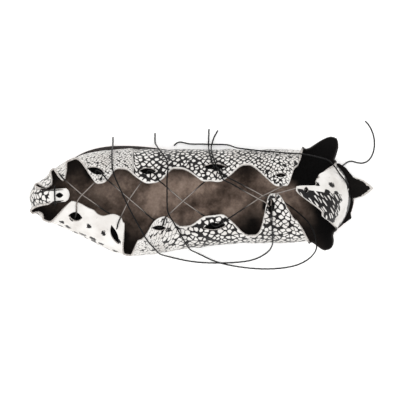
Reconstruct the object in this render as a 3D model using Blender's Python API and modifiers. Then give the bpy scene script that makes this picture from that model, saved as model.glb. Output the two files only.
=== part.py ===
"""Laced slipper made of one hide, the left shoe of a pair.

A printed hide is folded up round the foot from a flat leather sole. Its edge is cut into slotted tabs, and
one thin cord, crossed over the throat, draws the tabs together. Lengths in the tables are millimetres, read
from the back of the heel: "along" towards the toe, "across" towards the outer side of the foot, "up" from
the floor. The model is in metres, +X to the toe, +Y to the outer side, +Z up, with the origin on the
underside of the sole, half way along it.
"""

import math
from collections import namedtuple

import bmesh
import bpy
import numpy as np
from mathutils import Matrix, Vector

MM = 0.001

# Driving dimensions, in millimetres
SOLE_LENGTH = 256.0
BALL_WIDTH = 91.0
SOLE_THICKNESS = 3.5
SOLE_EDGE_BEVEL = 0.9
HIDE_THICKNESS = 1.6
SEAT_GAP = 0.3
TOE_SPRING = 7.0
SPRING_START = 205.0
TOE_REACH = 275.0
LACE_DIAMETER = 1.3

# The hide turns up from the floor in a small bend before the wall starts
BEND_LENGTH = 7.0
BEND_START_DEG = 18.0
BEND_INSET = 4.0
LEAN_GAUGE = 50.0

# A tab keeps its own slope over most of its width; the higher the power, the nearer the notch it lets go
FLARE_POWER = 3.0

# Mesh steps
SIDE_COLUMNS = 66
BEND_ROWS = 2
WALL_ROWS = 7
SOLE_COLUMNS = 46
EDGE_PACE = 0.6
CURVE_SAMPLES = 80
EDGE_SAMPLES = 1400

MEDIAL = "medial"
LATERAL = "lateral"
ENDS = "ends"

OutlineRow = namedtuple("OutlineRow", "name along across")

# Tread outline of the sole: along as a share of its length, across as a share of half the ball width
SOLE_OUTLINE = (
    OutlineRow("heel_back", 0.000, 0.00),
    OutlineRow("heel_corner_medial", 0.036, -0.52),
    OutlineRow("heel_side_medial", 0.180, -0.79),
    OutlineRow("waist_medial", 0.390, -0.73),
    OutlineRow("joint_medial", 0.590, -0.92),
    OutlineRow("ball_medial", 0.760, -1.04),
    OutlineRow("toe_side_medial", 0.890, -0.94),
    OutlineRow("toe_corner_medial", 0.968, -0.62),
    OutlineRow("toe_front", 1.000, -0.12),
    OutlineRow("toe_corner_lateral", 0.975, 0.28),
    OutlineRow("toe_side_lateral", 0.895, 0.62),
    OutlineRow("ball_lateral", 0.770, 0.95),
    OutlineRow("joint_lateral", 0.610, 0.87),
    OutlineRow("waist_lateral", 0.435, 0.66),
    OutlineRow("heel_side_lateral", 0.160, 0.77),
    OutlineRow("heel_corner_lateral", 0.030, 0.48),
)

# Plan of the wall's foot: along and across in millimetres, wider than the sole at the waist and past its toe
WALL_OUTLINE = (
    OutlineRow("heel_back", 2.5, 0.0),
    OutlineRow("heel_corner_medial", 11.0, -23.5),
    OutlineRow("heel_side_medial", 42.0, -38.0),
    OutlineRow("waist_medial", 104.0, -40.0),
    OutlineRow("joint_medial", 150.0, -42.0),
    OutlineRow("ball_medial", 194.0, -44.0),
    OutlineRow("toe_side_medial", 228.0, -40.5),
    OutlineRow("toe_flank_medial", 249.0, -32.5),
    OutlineRow("toe_corner_medial", 265.0, -20.0),
    OutlineRow("toe_tip", TOE_REACH, -9.0),
    OutlineRow("toe_corner_lateral", 270.5, 7.5),
    OutlineRow("toe_flank_lateral", 256.0, 16.5),
    OutlineRow("toe_side_lateral", 226.0, 31.5),
    OutlineRow("ball_lateral", 196.0, 44.5),
    OutlineRow("joint_lateral", 150.0, 41.5),
    OutlineRow("waist_lateral", 106.0, 36.5),
    OutlineRow("heel_side_lateral", 42.0, 36.5),
    OutlineRow("heel_corner_lateral", 11.0, 23.0),
)

# Sections of the hide's wall, one row for each tab and each notch, from the heel round the inner side.
# wall: length of hide from the bend to the edge; flat: half the width of edge at that length; foot and lean:
# angle of the wall at its foot and after LEAN_GAUGE of hide, 90 upright, more towards the foot, less flared
# outwards; swing: turn of the tab, in degrees, towards the toe or, on an end, towards the inner side.
Section = namedtuple("Section", "name side along wall flat foot lean swing")
WALL_SECTIONS = (
    Section("heel_wall", ENDS, 3.0, 74.0, 1.0, 93.0, 148.0, 9.0),
    Section("heel_shoulder_medial", MEDIAL, 3.6, 54.0, 0.5, 93.0, 148.0, 18.0),
    Section("heel_side_medial", MEDIAL, 7.7, 48.5, 0.5, 91.0, 145.0, 27.0),
    Section("heel_fold_medial", MEDIAL, 18.6, 10.0, 0.3, 72.0, 108.0, 26.0),
    Section("heel_lobe_medial", MEDIAL, 25.0, 20.0, 2.0, 31.0, 36.0, 6.0),
    Section("quarter_foot_medial", MEDIAL, 41.6, 3.0, 0.8, 52.0, 80.0, 4.0),
    Section("quarter_flank_medial", MEDIAL, 46.5, 41.0, 0.0, 79.0, 152.0, -4.0),
    Section("quarter_tab_medial", MEDIAL, 64.0, 60.0, 3.0, 80.0, 155.0, -8.0),
    Section("quarter_notch_medial", MEDIAL, 91.0, 40.0, 1.5, 78.0, 152.0, 0.0),
    Section("instep_tab_medial", MEDIAL, 119.0, 55.0, 6.0, 74.0, 161.0, 0.0),
    Section("instep_notch_medial", MEDIAL, 149.0, 42.0, 2.0, 78.0, 160.0, 0.0),
    Section("ball_tab_medial", MEDIAL, 171.0, 54.0, 3.0, 82.0, 163.0, 0.0),
    Section("ball_notch_medial", MEDIAL, 199.0, 41.0, 2.0, 82.0, 160.0, 0.0),
    Section("toe_tab_medial", MEDIAL, 219.0, 52.0, 2.5, 82.0, 163.0, 0.0),
    Section("toe_notch_medial", MEDIAL, 241.0, 14.0, 3.0, 86.0, 106.0, 0.0),
    Section("toe_strip_medial", MEDIAL, 249.5, 34.0, 1.0, 88.0, 160.0, 20.0),
    Section("toe_gap_medial", MEDIAL, 256.0, 12.0, 1.4, 80.0, 110.0, 10.0),
    Section("toe_ear_medial", MEDIAL, 263.0, 27.0, 2.4, 86.0, 165.0, 10.0),
    Section("toe_slit_medial", MEDIAL, 269.5, 12.0, 0.8, 80.0, 120.0, 0.0),
    Section("toe_strap", ENDS, TOE_REACH, 56.0, 5.6, 84.0, 172.0, -3.0),
    Section("toe_slit_lateral", LATERAL, 272.0, 12.0, 1.4, 72.0, 100.0, 0.0),
    Section("toe_ear_lateral", LATERAL, 268.0, 20.0, 0.8, 84.0, 140.0, 0.0),
    Section("toe_gap_lateral", LATERAL, 262.0, 13.0, 2.4, 80.0, 100.0, 0.0),
    Section("toe_tab_lateral", LATERAL, 241.0, 49.2, 9.5, 82.0, 163.0, 0.0),
    Section("toe_dip_lateral", LATERAL, 227.5, 47.8, 1.5, 82.0, 163.0, 0.0),
    Section("ball_tab_lateral", LATERAL, 214.0, 54.2, 2.5, 82.0, 164.0, 0.0),
    Section("ball_corner_lateral", LATERAL, 205.8, 50.8, 0.0, 82.0, 164.0, 0.0),
    Section("ball_notch_lateral", LATERAL, 193.0, 13.0, 2.0, 80.0, 120.0, 0.0),
    Section("joint_flank_lateral", LATERAL, 184.0, 37.0, 0.0, 82.0, 159.0, 0.0),
    Section("joint_tab_lateral", LATERAL, 159.0, 55.0, 2.0, 82.0, 163.0, 0.0),
    Section("joint_notch_lateral", LATERAL, 142.0, 45.0, 2.0, 80.0, 158.0, 0.0),
    Section("instep_tab_lateral", LATERAL, 118.0, 54.0, 7.0, 74.0, 159.0, 0.0),
    Section("instep_notch_lateral", LATERAL, 88.0, 31.0, 2.0, 78.0, 148.0, 0.0),
    Section("quarter_tab_lateral", LATERAL, 61.0, 70.0, 2.0, 80.0, 160.0, 9.0),
    Section("quarter_flank_lateral", LATERAL, 43.4, 46.0, 0.0, 79.0, 156.0, 11.0),
    Section("quarter_foot_lateral", LATERAL, 39.0, 3.0, 0.4, 60.0, 92.0, 12.0),
    Section("heel_lobe_lateral", LATERAL, 29.5, 13.0, 2.4, 34.0, 42.0, 10.0),
    Section("heel_fold_lateral", LATERAL, 19.4, 6.0, 0.3, 72.0, 104.0, 24.0),
    Section("heel_side_lateral", LATERAL, 8.0, 46.0, 0.0, 91.0, 145.0, 22.0),
)

# Slots for the cord, one in each tab. inset: hide between slot and tip; half_long and half_wide: half its
# size; shift: along the edge towards the toe; turn: of the slot from the line of the edge, in degrees.
Slot = namedtuple("Slot", "tab inset half_long half_wide shift turn")
SLOTS = (
    Slot("heel_wall", 9.0, 2.6, 2.0, 0.0, 0.0),
    Slot("quarter_tab_medial", 10.0, 5.0, 2.2, 0.0, 0.0),
    Slot("instep_tab_medial", 14.0, 10.0, 3.4, -2.0, 0.0),
    Slot("ball_tab_medial", 11.0, 7.6, 3.2, 3.0, 0.0),
    Slot("toe_tab_medial", 12.5, 8.5, 3.6, 2.0, -36.0),
    Slot("toe_strap", 8.5, 3.4, 2.2, 0.0, 90.0),
    Slot("toe_tab_lateral", 13.5, 6.2, 5.0, 2.0, 20.0),
    Slot("ball_tab_lateral", 18.2, 10.0, 3.1, -4.5, -55.0),
    Slot("joint_tab_lateral", 9.0, 6.5, 2.4, 4.0, -14.0),
    Slot("instep_tab_lateral", 10.5, 10.0, 3.6, 0.0, 0.0),
    Slot("quarter_tab_lateral", 11.0, 6.4, 3.2, 5.0, 84.0),
)
SLOT_SIDE_POINTS = 6
SLOT_CUT_DEPTH = 4.0

# The cord crosses itself over the throat. Each strand leaves on top of one tab's edge and ends under the edge
# of another. A shift is measured along the edge towards the toe. along and across: the place of the crossing.
Strand = namedtuple("Strand", "over over_shift under under_shift")
Crossing = namedtuple("Crossing", "name along across strands")
CROSSINGS = (
    Crossing(
        "lace_crossing_toe",
        231.0,
        -6.5,
        (
            Strand("toe_strip_medial", 0.0, "ball_tab_lateral", 7.0),
            Strand("toe_tab_lateral", 6.0, "toe_tab_medial", 5.0),
        ),
    ),
    Crossing(
        "lace_crossing_ball",
        191.0,
        -2.0,
        (
            Strand("toe_tab_medial", -6.0, "joint_tab_lateral", 7.0),
            Strand("ball_tab_lateral", -2.8, "ball_tab_medial", 8.0),
        ),
    ),
    Crossing(
        "lace_crossing_waist",
        145.5,
        1.0,
        (
            Strand("ball_tab_medial", -7.0, "instep_tab_lateral", 8.0),
            Strand("joint_tab_lateral", -3.0, "instep_tab_medial", 7.0),
        ),
    ),
    Crossing(
        "lace_crossing_instep",
        79.0,
        -1.5,
        (
            Strand("instep_tab_medial", -12.0, "quarter_tab_lateral", 6.0),
            Strand("instep_tab_lateral", -12.0, "quarter_tab_medial", 0.0),
        ),
    ),
)
HEEL_BAR = Strand("quarter_tab_lateral", -2.0, "heel_wall", 0.0)
STRAND_REACH = 4.0
STRAND_CLEARANCE = 0.5
STRAND_SAG = 1.0

# Loose ends of the cord: points of each route, along, across and up
LACE_ROUTES = {
    "lace_end_lateral": (
        (70.0, 6.0, 52.4), (70.1, 10.5, 51.8), (70.2, 15.6, 50.3), (70.3, 24.4, 45.5),
        (70.2, 31.4, 38.2), (70.0, 36.9, 29.0), (70.5, 39.8, 18.0), (71.5, 42.2, 7.0),
        (74.0, 45.4, 1.6), (83.0, 50.8, 0.8), (98.3, 53.9, 0.8), (119.5, 54.2, 0.8),
        (140.7, 52.2, 0.8), (156.0, 48.6, 0.9), (162.0, 46.9, 6.0), (165.0, 45.9, 16.0),
        (167.4, 44.4, 27.5), (172.0, 39.2, 38.0), (177.5, 32.4, 44.8), (180.5, 27.0, 46.8),
        (187.5, 13.5, 48.6),
        (194.8, -1.8, 50.0), (200.6, -15.5, 48.8), (204.2, -25.5, 46.8), (205.0, -34.6, 41.2),
        (204.8, -41.4, 32.0), (204.4, -45.4, 21.0), (204.0, -47.6, 9.0), (203.8, -49.4, 2.0),
        (203.6, -55.0, 0.8),
    ),
    "lace_end_heel": (
        (64.0, 1.0, 46.4), (56.0, 6.5, 40.0), (48.0, 13.0, 33.5), (40.0, 21.0, 27.5),
        (35.0, 30.0, 21.5), (33.4, 37.0, 17.8), (32.9, 41.0, 16.6), (33.1, 44.0, 15.8), (34.4, 46.8, 13.0),
        (36.3, 49.4, 7.2), (38.8, 51.8, 2.8), (42.6, 54.4, 0.8), (51.0, 57.9, 0.8), (60.0, 59.6, 0.8),
        (77.2, 60.3, 0.8), (98.4, 58.1, 0.8), (107.0, 56.4, 1.5), (115.0, 54.3, 2.8), (123.7, 50.9, 1.8),
        (131.0, 47.2, 1.0), (136.0, 44.6, 8.0), (139.0, 43.2, 18.0), (141.5, 41.0, 27.5),
        (145.0, 35.2, 39.0), (149.0, 28.0, 45.8), (154.6, 17.8, 51.0), (158.2, 10.7, 53.0),
        (159.0, 1.0, 51.2), (158.8, -7.5, 51.0), (158.7, -14.0, 51.6), (158.3, -21.0, 49.4),
        (157.6, -27.0, 46.8), (158.0, -33.0, 42.4), (160.6, -38.2, 36.2), (164.0, -42.6, 29.5),
        (166.4, -46.2, 18.0), (167.6, -48.0, 7.0), (168.0, -50.0, 1.4), (167.8, -57.5, 0.8),
    ),
    "lace_heel_strand": (
        (4.5, -9.6, 19.4), (6.9, -12.6, 24.4), (9.8, -16.4, 28.8), (12.4, -20.0, 30.4),
        (14.8, -23.8, 33.0), (17.4, -27.2, 35.0), (20.4, -30.2, 35.0), (27.0, -32.8, 34.4),
        (34.5, -34.8, 34.4), (41.0, -36.2, 35.0), (46.0, -36.9, 35.2), (52.0, -37.3, 34.4),
        (60.0, -38.2, 33.4), (72.0, -39.4, 31.6), (84.0, -41.0, 29.0), (94.0, -42.4, 22.0),
        (101.0, -44.0, 11.0),
        (107.0, -46.0, 2.2), (118.0, -46.6, 0.8), (131.0, -47.2, 0.8), (141.0, -48.0, 0.8),
        (149.0, -48.8, 0.8), (152.0, -46.4, 0.8),
    ),
    "lace_end_instep": (
        (117.2, -22.5, 42.8), (118.2, -27.0, 45.2), (119.4, -30.5, 45.0), (120.8, -35.0, 40.6),
        (121.8, -39.0, 34.8), (122.4, -42.4, 25.0), (122.6, -44.0, 16.0), (122.6, -44.4, 8.0),
        (122.6, -45.6, 4.2), (122.6, -47.2, 3.0), (122.4, -50.5, 1.5), (122.2, -54.5, 0.8),
        (121.9, -59.8, 0.8),
    ),
    "lace_end_instep_twin": (
        (115.2, -22.5, 42.8), (116.0, -27.0, 45.2), (117.2, -30.5, 45.0), (118.6, -35.0, 40.6),
        (119.7, -39.0, 34.8), (120.3, -42.4, 25.0), (120.4, -44.0, 16.0), (120.3, -44.4, 8.0),
        (120.1, -45.6, 4.2), (119.6, -47.2, 3.0), (118.6, -50.5, 1.5), (117.0, -54.0, 0.8),
        (114.3, -58.4, 0.8),
    ),
    "lace_end_back": (
        (10.0, -25.2, 0.8), (7.0, -27.4, 0.8), (2.7, -29.4, 0.8), (-2.4, -28.4, 0.8), (-7.0, -27.6, 0.8),
        (-11.2, -28.6, 0.8), (-15.2, -32.4, 0.8), (-17.6, -38.0, 0.8), (-18.4, -44.0, 0.8),
        (-17.9, -50.0, 0.8), (-16.2, -55.5, 0.8), (-13.8, -60.0, 0.8), (-11.0, -63.4, 0.8),
    ),
}
FLOOR_GAP = 0.1
ROUTE_SPACING = 4.6
LACE_SIDES_RESOLUTION = 2

# Flap behind the heel, with a pointed tab: where it starts at the wall and where it ends, place by place
FlapRow = namedtuple("FlapRow", "across inner outer")
HEEL_FLAP = (
    FlapRow(-28.0, 16.6, 12.0),
    FlapRow(-24.0, 12.0, 6.4),
    FlapRow(-20.0, 8.9, 3.4),
    FlapRow(-16.2, 6.7, 0.2),
    FlapRow(-13.2, 5.4, -8.0),
    FlapRow(-9.7, 4.4, -13.0),
    FlapRow(-6.0, 3.6, -17.0),
    FlapRow(-2.6, 3.2, -13.0),
    FlapRow(0.6, 3.1, -8.0),
    FlapRow(2.8, 3.2, 0.6),
    FlapRow(8.0, 4.0, 1.4),
    FlapRow(14.5, 6.1, 3.2),
    FlapRow(19.0, 8.6, 2.6),
    FlapRow(23.0, 11.6, 8.4),
)
HEEL_FLAP_BASE = 2.0
HEEL_TAB_TIP = -17.0
HEEL_TAB_LIFT = 5.2
HEEL_FLAP_COLUMNS = 4


def cubic_piece(start, end, leaving, arriving, length):
    """Points of a cubic from one knot up to the next, with the slopes it leaves and arrives with."""
    share = np.linspace(0.0, 1.0, CURVE_SAMPLES, endpoint=False)[:, None]
    fall = 2 * share**3 - 3 * share**2 + 1
    leave = (share**3 - 2 * share**2 + share) * length
    arrive = (share**3 - share**2) * length
    return fall * start + (1 - fall) * end + leave * leaving + arrive * arriving


def travelled(points):
    """Distance along a line of points, from its first point to each."""
    return np.concatenate([[0.0], np.cumsum(np.linalg.norm(np.diff(points, axis=0), axis=1))])


class Outline:
    """A smooth closed plan curve through named points, read by the distance along it from the heel."""

    def __init__(self, rows, along_scale=1.0, across_scale=1.0):
        knots = np.array([(row.along * along_scale, row.across * across_scale) for row in rows])
        steps = np.linalg.norm(np.roll(knots, -1, axis=0) - knots, axis=1)
        slopes = self.closed_slopes(knots, steps)
        pieces = []
        for i, step in enumerate(steps):
            after = (i + 1) % len(knots)
            pieces.append(cubic_piece(knots[i], knots[after], slopes[i], slopes[after], step))
        self.points = np.vstack([*pieces, knots[:1]])
        self.distance = travelled(self.points)
        self.length = self.distance[-1]
        self.toe = self.distance[np.argmax(self.points[:, 0])]

    @staticmethod
    def closed_slopes(knots, steps):
        """Slopes that make the closed cubic through the knots bend without a jump."""
        count = len(knots)
        system = np.zeros((count, count))
        wanted = np.zeros((count, 2))
        for i in range(count):
            before, after = (i - 1) % count, (i + 1) % count
            system[i, before] = steps[i]
            system[i, i] = 2 * (steps[before] + steps[i])
            system[i, after] = steps[before]
            ahead = (knots[after] - knots[i]) / steps[i]
            behind = (knots[i] - knots[before]) / steps[before]
            wanted[i] = 3 * (steps[before] * ahead + steps[i] * behind)
        return np.linalg.solve(system, wanted)

    def point(self, distance):
        """Plan point at a distance along the curve."""
        at = distance % self.length
        return np.array([np.interp(at, self.distance, self.points[:, axis]) for axis in (0, 1)])

    def inward(self, distance, reach=1.0):
        """Direction, in radians, of the normal that points to the inside of the curve."""
        tangent = self.point(distance + reach) - self.point(distance - reach)
        return math.atan2(tangent[0], -tangent[1])

    def distance_at(self, along, side):
        """Distance of the point that lies so far along the shoe, on one side of it."""
        on_side = self.distance <= self.toe if side == MEDIAL else self.distance >= self.toe
        misfit = np.where(on_side, np.abs(self.points[:, 0] - along), np.inf)
        return self.distance[np.argmin(misfit)]

    def side_columns(self, count):
        """Distances of count steps on each side, from heel to toe."""
        share = np.linspace(0.0, 1.0, count + 1)
        return share * self.toe, self.length - share * (self.length - self.toe)


def place(along, across, up):
    """A point of the shoe as a point of the model."""
    return Vector(((along - SOLE_LENGTH / 2) * MM, across * MM, up * MM))


def toe_rise(along):
    """How far the sole and the floor of the hide lift towards the toe."""
    share = max(0.0, along - SPRING_START) / (TOE_REACH - SPRING_START)
    return TOE_SPRING * share**2


def smooth(share):
    """An even step from 0 to 1 with level ends."""
    share = min(1.0, max(0.0, share))
    return share * share * (3 - 2 * share)


def arc(angle_deg, bend_deg, length):
    """Outward and upward reach of a strip that starts at an angle from level and bends evenly."""
    half = math.radians(bend_deg * length) / 2
    chord = length * (math.sin(half) / half if abs(half) > 1e-9 else 1.0)
    direction = math.radians(angle_deg) + half
    return chord * math.cos(direction), chord * math.sin(direction)


class Hide:
    """The folded hide: a wall that follows the table of sections round the foot."""

    def __init__(self):
        self.outline = Outline(WALL_OUTLINE)
        self.rows = [(self.centre(row), row) for row in WALL_SECTIONS]
        turns = [self.outline.inward(at) + self.swing(row) for at, row in self.rows]
        self.turns = np.unwrap(turns + [turns[0] + 2 * math.pi])

    def centre(self, row):
        """Distance along the wall's foot of the middle of a tab or notch."""
        if row.side == ENDS:
            return 0.0 if row.along < SOLE_LENGTH / 2 else self.outline.toe
        return self.outline.distance_at(row.along, row.side)

    @staticmethod
    def swing(row):
        """Turn of a tab towards the toe, as an angle in plan."""
        return math.radians(row.swing) * (1 if row.side == LATERAL else -1)

    def section(self, distance):
        """Wall length, foot angle, bend per millimetre and lean direction at a distance along the foot."""
        at = distance % self.outline.length
        index = max(i for i, (start, _) in enumerate(self.rows) if start <= at)
        start, row = self.rows[index]
        if index + 1 < len(self.rows):
            end, following = self.rows[index + 1]
        else:
            end, following = self.outline.length, self.rows[0][1]
        share = smooth((at - start - row.flat) / (end - following.flat - start - row.flat))
        late = share**FLARE_POWER if following.wall < row.wall else 1 - (1 - share) ** FLARE_POWER
        foot = row.foot + (following.foot - row.foot) * late
        lean = row.lean + (following.lean - row.lean) * late
        turn = self.turns[index] + (self.turns[index + 1] - self.turns[index]) * (share + late) / 2
        wall = BEND_LENGTH + row.wall + (following.wall - row.wall) * share
        return wall, foot, (lean - foot) / LEAN_GAUGE, turn

    def side_columns(self, count):
        """Distances of count steps on each side, heel to toe, closer together where the edge is steep."""
        grid = np.linspace(0.0, self.outline.length, EDGE_SAMPLES)
        walls = np.array([self.section(min(at, self.outline.length - 1e-6))[0] for at in grid])
        pace = np.sqrt(1 + (EDGE_PACE * np.gradient(walls, grid)) ** 2)
        travel = np.concatenate([[0.0], np.cumsum((pace[1:] + pace[:-1]) / 2 * np.diff(grid))])
        toe = np.interp(self.outline.toe, grid, travel)
        medial = np.interp(np.linspace(0.0, toe, count + 1), travel, grid)
        lateral = np.interp(np.linspace(travel[-1], toe, count + 1), travel, grid)
        return medial, lateral

    def point(self, distance, hide):
        """Point of the hide's outer face, at so much hide above its floor."""
        _, foot, bend, turn = self.section(distance)
        foot_bend = (foot - BEND_START_DEG) / BEND_LENGTH
        out, up = arc(BEND_START_DEG, foot_bend, min(hide, BEND_LENGTH))
        if hide > BEND_LENGTH:
            wall_out, wall_up = arc(foot, bend, hide - BEND_LENGTH)
            out, up = out + wall_out, up + wall_up
        x, y = self.outline.point(distance)
        inward = BEND_INSET - out
        x, y = x + inward * math.cos(turn), y + inward * math.sin(turn)
        return place(x, y, SOLE_THICKNESS + SEAT_GAP + toe_rise(x) + up)

    def frame(self, distance, hide, step=0.5):
        """Outward normal, direction along the edge and direction up the wall, at a point of the hide."""
        edge = self.point(distance + step, hide) - self.point(distance - step, hide)
        climb = self.point(distance, hide + step) - self.point(distance, hide - step)
        normal = edge.cross(climb).normalized()
        edge.normalize()
        return normal, edge, normal.cross(edge)

    def tab(self, name):
        """The place of a tab's middle along the foot, and its row."""
        return next((at, row) for at, row in self.rows if row.name == name)

    def edge(self, name, shift):
        """The place of a point of a tab's edge: distance along the foot, and hide above the floor."""
        at, row = self.tab(name)
        distance = at - shift if row.side == LATERAL else at + shift
        return distance, self.section(distance)[0]

    def slot(self, name):
        """The place of a tab's slot: distance along the foot, and hide above the floor."""
        slot = next(slot for slot in SLOTS if slot.tab == name)
        at, row = self.tab(name)
        shift = -slot.shift if row.side == LATERAL else slot.shift
        return at + shift, BEND_LENGTH + row.wall - slot.inset


def collection(name):
    made = bpy.data.collections.new(name)
    bpy.context.scene.collection.children.link(made)
    return made


def material(name, colour, roughness, metallic=0.0):
    made = bpy.data.materials.new(name)
    made.use_nodes = True
    shader = made.node_tree.nodes["Principled BSDF"]
    shader.inputs["Base Color"].default_value = (*colour, 1.0)
    shader.inputs["Roughness"].default_value = roughness
    shader.inputs["Metallic"].default_value = metallic
    return made


def add_object(name, data, group, finish=None):
    made = bpy.data.objects.new(name, data)
    group.objects.link(made)
    if finish:
        data.materials.append(finish)
    return made


def mesh_from(name, shape):
    mesh = bpy.data.meshes.new(name)
    shape.to_mesh(mesh)
    shape.free()
    mesh.shade_smooth()
    mesh.set_sharp_from_angle(angle=math.radians(40))
    return mesh


def fill_between(shape, medial, middle, lateral):
    """Faces, looking down, between two sides that share their heel and toe points."""
    last = len(medial) - 1
    for k in range(last):
        for left, right in ((medial, middle), (middle, lateral)):
            corners = [left[k], right[k], right[k + 1], left[k + 1]]
            shape.faces.new(list(dict.fromkeys(corners)))


def middle_row(shape, medial, lateral):
    """Points half way between two sides, sharing the heel and toe points."""
    inner = [shape.verts.new((a.co + b.co) / 2) for a, b in zip(medial[1:-1], lateral[1:-1])]
    return [medial[0], *inner, medial[-1]]


def build_outsole(group, finish):
    """Flat leather sole with its own toe spring and an eased edge."""
    outline = Outline(SOLE_OUTLINE, SOLE_LENGTH, BALL_WIDTH / 2)
    shape = bmesh.new()
    sides = []
    for distances in outline.side_columns(SOLE_COLUMNS):
        points = [outline.point(at) for at in distances]
        sides.append([place(x, y, toe_rise(x)) for x, y in points])
    medial = [shape.verts.new(point) for point in sides[0]]
    lateral = [medial[0], *(shape.verts.new(point) for point in sides[1][1:-1]), medial[-1]]
    fill_between(shape, medial, middle_row(shape, medial, lateral), lateral)
    sole = add_object("outsole", mesh_from("outsole", shape), group, finish)
    thicken = sole.modifiers.new("thickness", "SOLIDIFY")
    thicken.thickness = SOLE_THICKNESS * MM
    thicken.offset = -1.0
    ease = sole.modifiers.new("eased_edge", "BEVEL")
    ease.width = SOLE_EDGE_BEVEL * MM
    ease.segments = 1
    ease.angle_limit = math.radians(60)


def build_hide_sheet(hide):
    """The hide's outer face, an open sheet: floor, bend and wall up to the cut edge."""
    shape = bmesh.new()
    medial, lateral = hide.side_columns(SIDE_COLUMNS)
    ring = [*medial, *lateral[-2:0:-1]]
    columns = []
    for distance in ring:
        wall = hide.section(distance)[0]
        heights = list(np.linspace(0.0, BEND_LENGTH, BEND_ROWS + 1))
        heights += list(np.linspace(BEND_LENGTH, wall, WALL_ROWS + 1))[1:]
        columns.append([shape.verts.new(hide.point(distance, up)) for up in heights])
    for here, following in zip(columns, columns[1:] + columns[:1]):
        for low in range(len(here) - 1):
            shape.faces.new((here[low], following[low], following[low + 1], here[low + 1]))
    feet = [column[0] for column in columns]
    medial_feet = feet[: SIDE_COLUMNS + 1]
    lateral_feet = [feet[0], *feet[:SIDE_COLUMNS:-1], feet[SIDE_COLUMNS]]
    fill_between(shape, medial_feet, middle_row(shape, medial_feet, lateral_feet), lateral_feet)
    return mesh_from("upper", shape)


def slot_prism(shape, hide, slot):
    """A lens-shaped prism through the hide at a tab's slot."""
    distance, height = hide.slot(slot.tab)
    normal, edge, climb = hide.frame(distance, height)
    turn = Matrix.Rotation(math.radians(slot.turn), 3, normal)
    edge, climb = turn @ edge, turn @ climb
    centre = hide.point(distance, height) - normal * HIDE_THICKNESS / 2 * MM
    rim = []
    for sign in (-1, 1):
        for share in np.linspace(-1, 1, SLOT_SIDE_POINTS, endpoint=False):
            wide = slot.half_wide * (1 - share**2)
            rim.append(centre + (edge * share * -sign * slot.half_long + climb * sign * wide) * MM)
    low = [shape.verts.new(point - normal * SLOT_CUT_DEPTH * MM) for point in rim]
    high = [shape.verts.new(point + normal * SLOT_CUT_DEPTH * MM) for point in rim]
    shape.faces.new(low)
    shape.faces.new(high)
    for i in range(len(rim)):
        after = (i + 1) % len(rim)
        shape.faces.new((low[i], low[after], high[after], high[i]))


def build_upper(hide, group, cutters, finish):
    """One hollow hide with a floor, scalloped tabs and a slot in each tab."""
    upper = add_object("upper", build_hide_sheet(hide), group, finish)
    thicken = upper.modifiers.new("thickness", "SOLIDIFY")
    thicken.thickness = HIDE_THICKNESS * MM
    thicken.offset = -1.0
    thicken.use_quality_normals = True
    shape = bmesh.new()
    for slot in SLOTS:
        slot_prism(shape, hide, slot)
    bmesh.ops.recalc_face_normals(shape, faces=shape.faces)
    cutter = add_object("slot_cutters", mesh_from("slot_cutters", shape), cutters)
    cutter.hide_render = True
    cutter.display_type = "WIRE"
    cut = upper.modifiers.new("slots", "BOOLEAN")
    cut.operation = "DIFFERENCE"
    cut.solver = "EXACT"
    cut.object = cutter


def smooth_path(route, spacing):
    """Points, evenly spaced, on a smooth open curve through a route."""
    knots = np.array(route)
    steps = np.linalg.norm(np.diff(knots, axis=0), axis=1)
    count = len(knots)
    system = np.eye(count)
    wanted = np.zeros((count, 3))
    wanted[0] = (knots[1] - knots[0]) / steps[0]
    wanted[-1] = (knots[-1] - knots[-2]) / steps[-1]
    for i in range(1, count - 1):
        system[i, i - 1 : i + 2] = steps[i], 2 * (steps[i - 1] + steps[i]), steps[i - 1]
        ahead = (knots[i + 1] - knots[i]) / steps[i]
        behind = (knots[i] - knots[i - 1]) / steps[i - 1]
        wanted[i] = 3 * (steps[i - 1] * ahead + steps[i] * behind)
    slopes = np.linalg.solve(system, wanted)
    pieces = []
    for i, step in enumerate(steps):
        pieces.append(cubic_piece(knots[i], knots[i + 1], slopes[i], slopes[i + 1], step))
    fine = np.vstack([*pieces, knots[-1:]])
    travel = travelled(fine)
    even = np.linspace(0.0, travel[-1], round(travel[-1] / spacing) + 1)
    return np.column_stack([np.interp(even, travel, fine[:, axis]) for axis in range(3)])


def cord_curve(name, points):
    """A round cord through points of the model."""
    curve = bpy.data.curves.new(name, "CURVE")
    curve.dimensions = "3D"
    curve.bevel_depth = LACE_DIAMETER / 2 * MM
    curve.bevel_resolution = LACE_SIDES_RESOLUTION
    curve.use_fill_caps = True
    spline = curve.splines.new("POLY")
    spline.points.add(len(points) - 1)
    for knot, point in zip(spline.points, points):
        knot.co = (*point, 1.0)
    return curve


def cord_mesh(name, points):
    """The same cord as a closed mesh, for joining."""
    holder = bpy.data.objects.new(name, cord_curve(name, points))
    bpy.context.scene.collection.objects.link(holder)
    bpy.context.view_layer.update()
    mesh = bpy.data.meshes.new_from_object(holder.evaluated_get(bpy.context.evaluated_depsgraph_get()))
    bpy.data.objects.remove(holder)
    shape = bmesh.new()
    shape.from_mesh(mesh)
    bmesh.ops.remove_doubles(shape, verts=shape.verts, dist=1e-6)
    bmesh.ops.recalc_face_normals(shape, faces=shape.faces)
    shape.to_mesh(mesh)
    shape.free()
    return mesh


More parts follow.
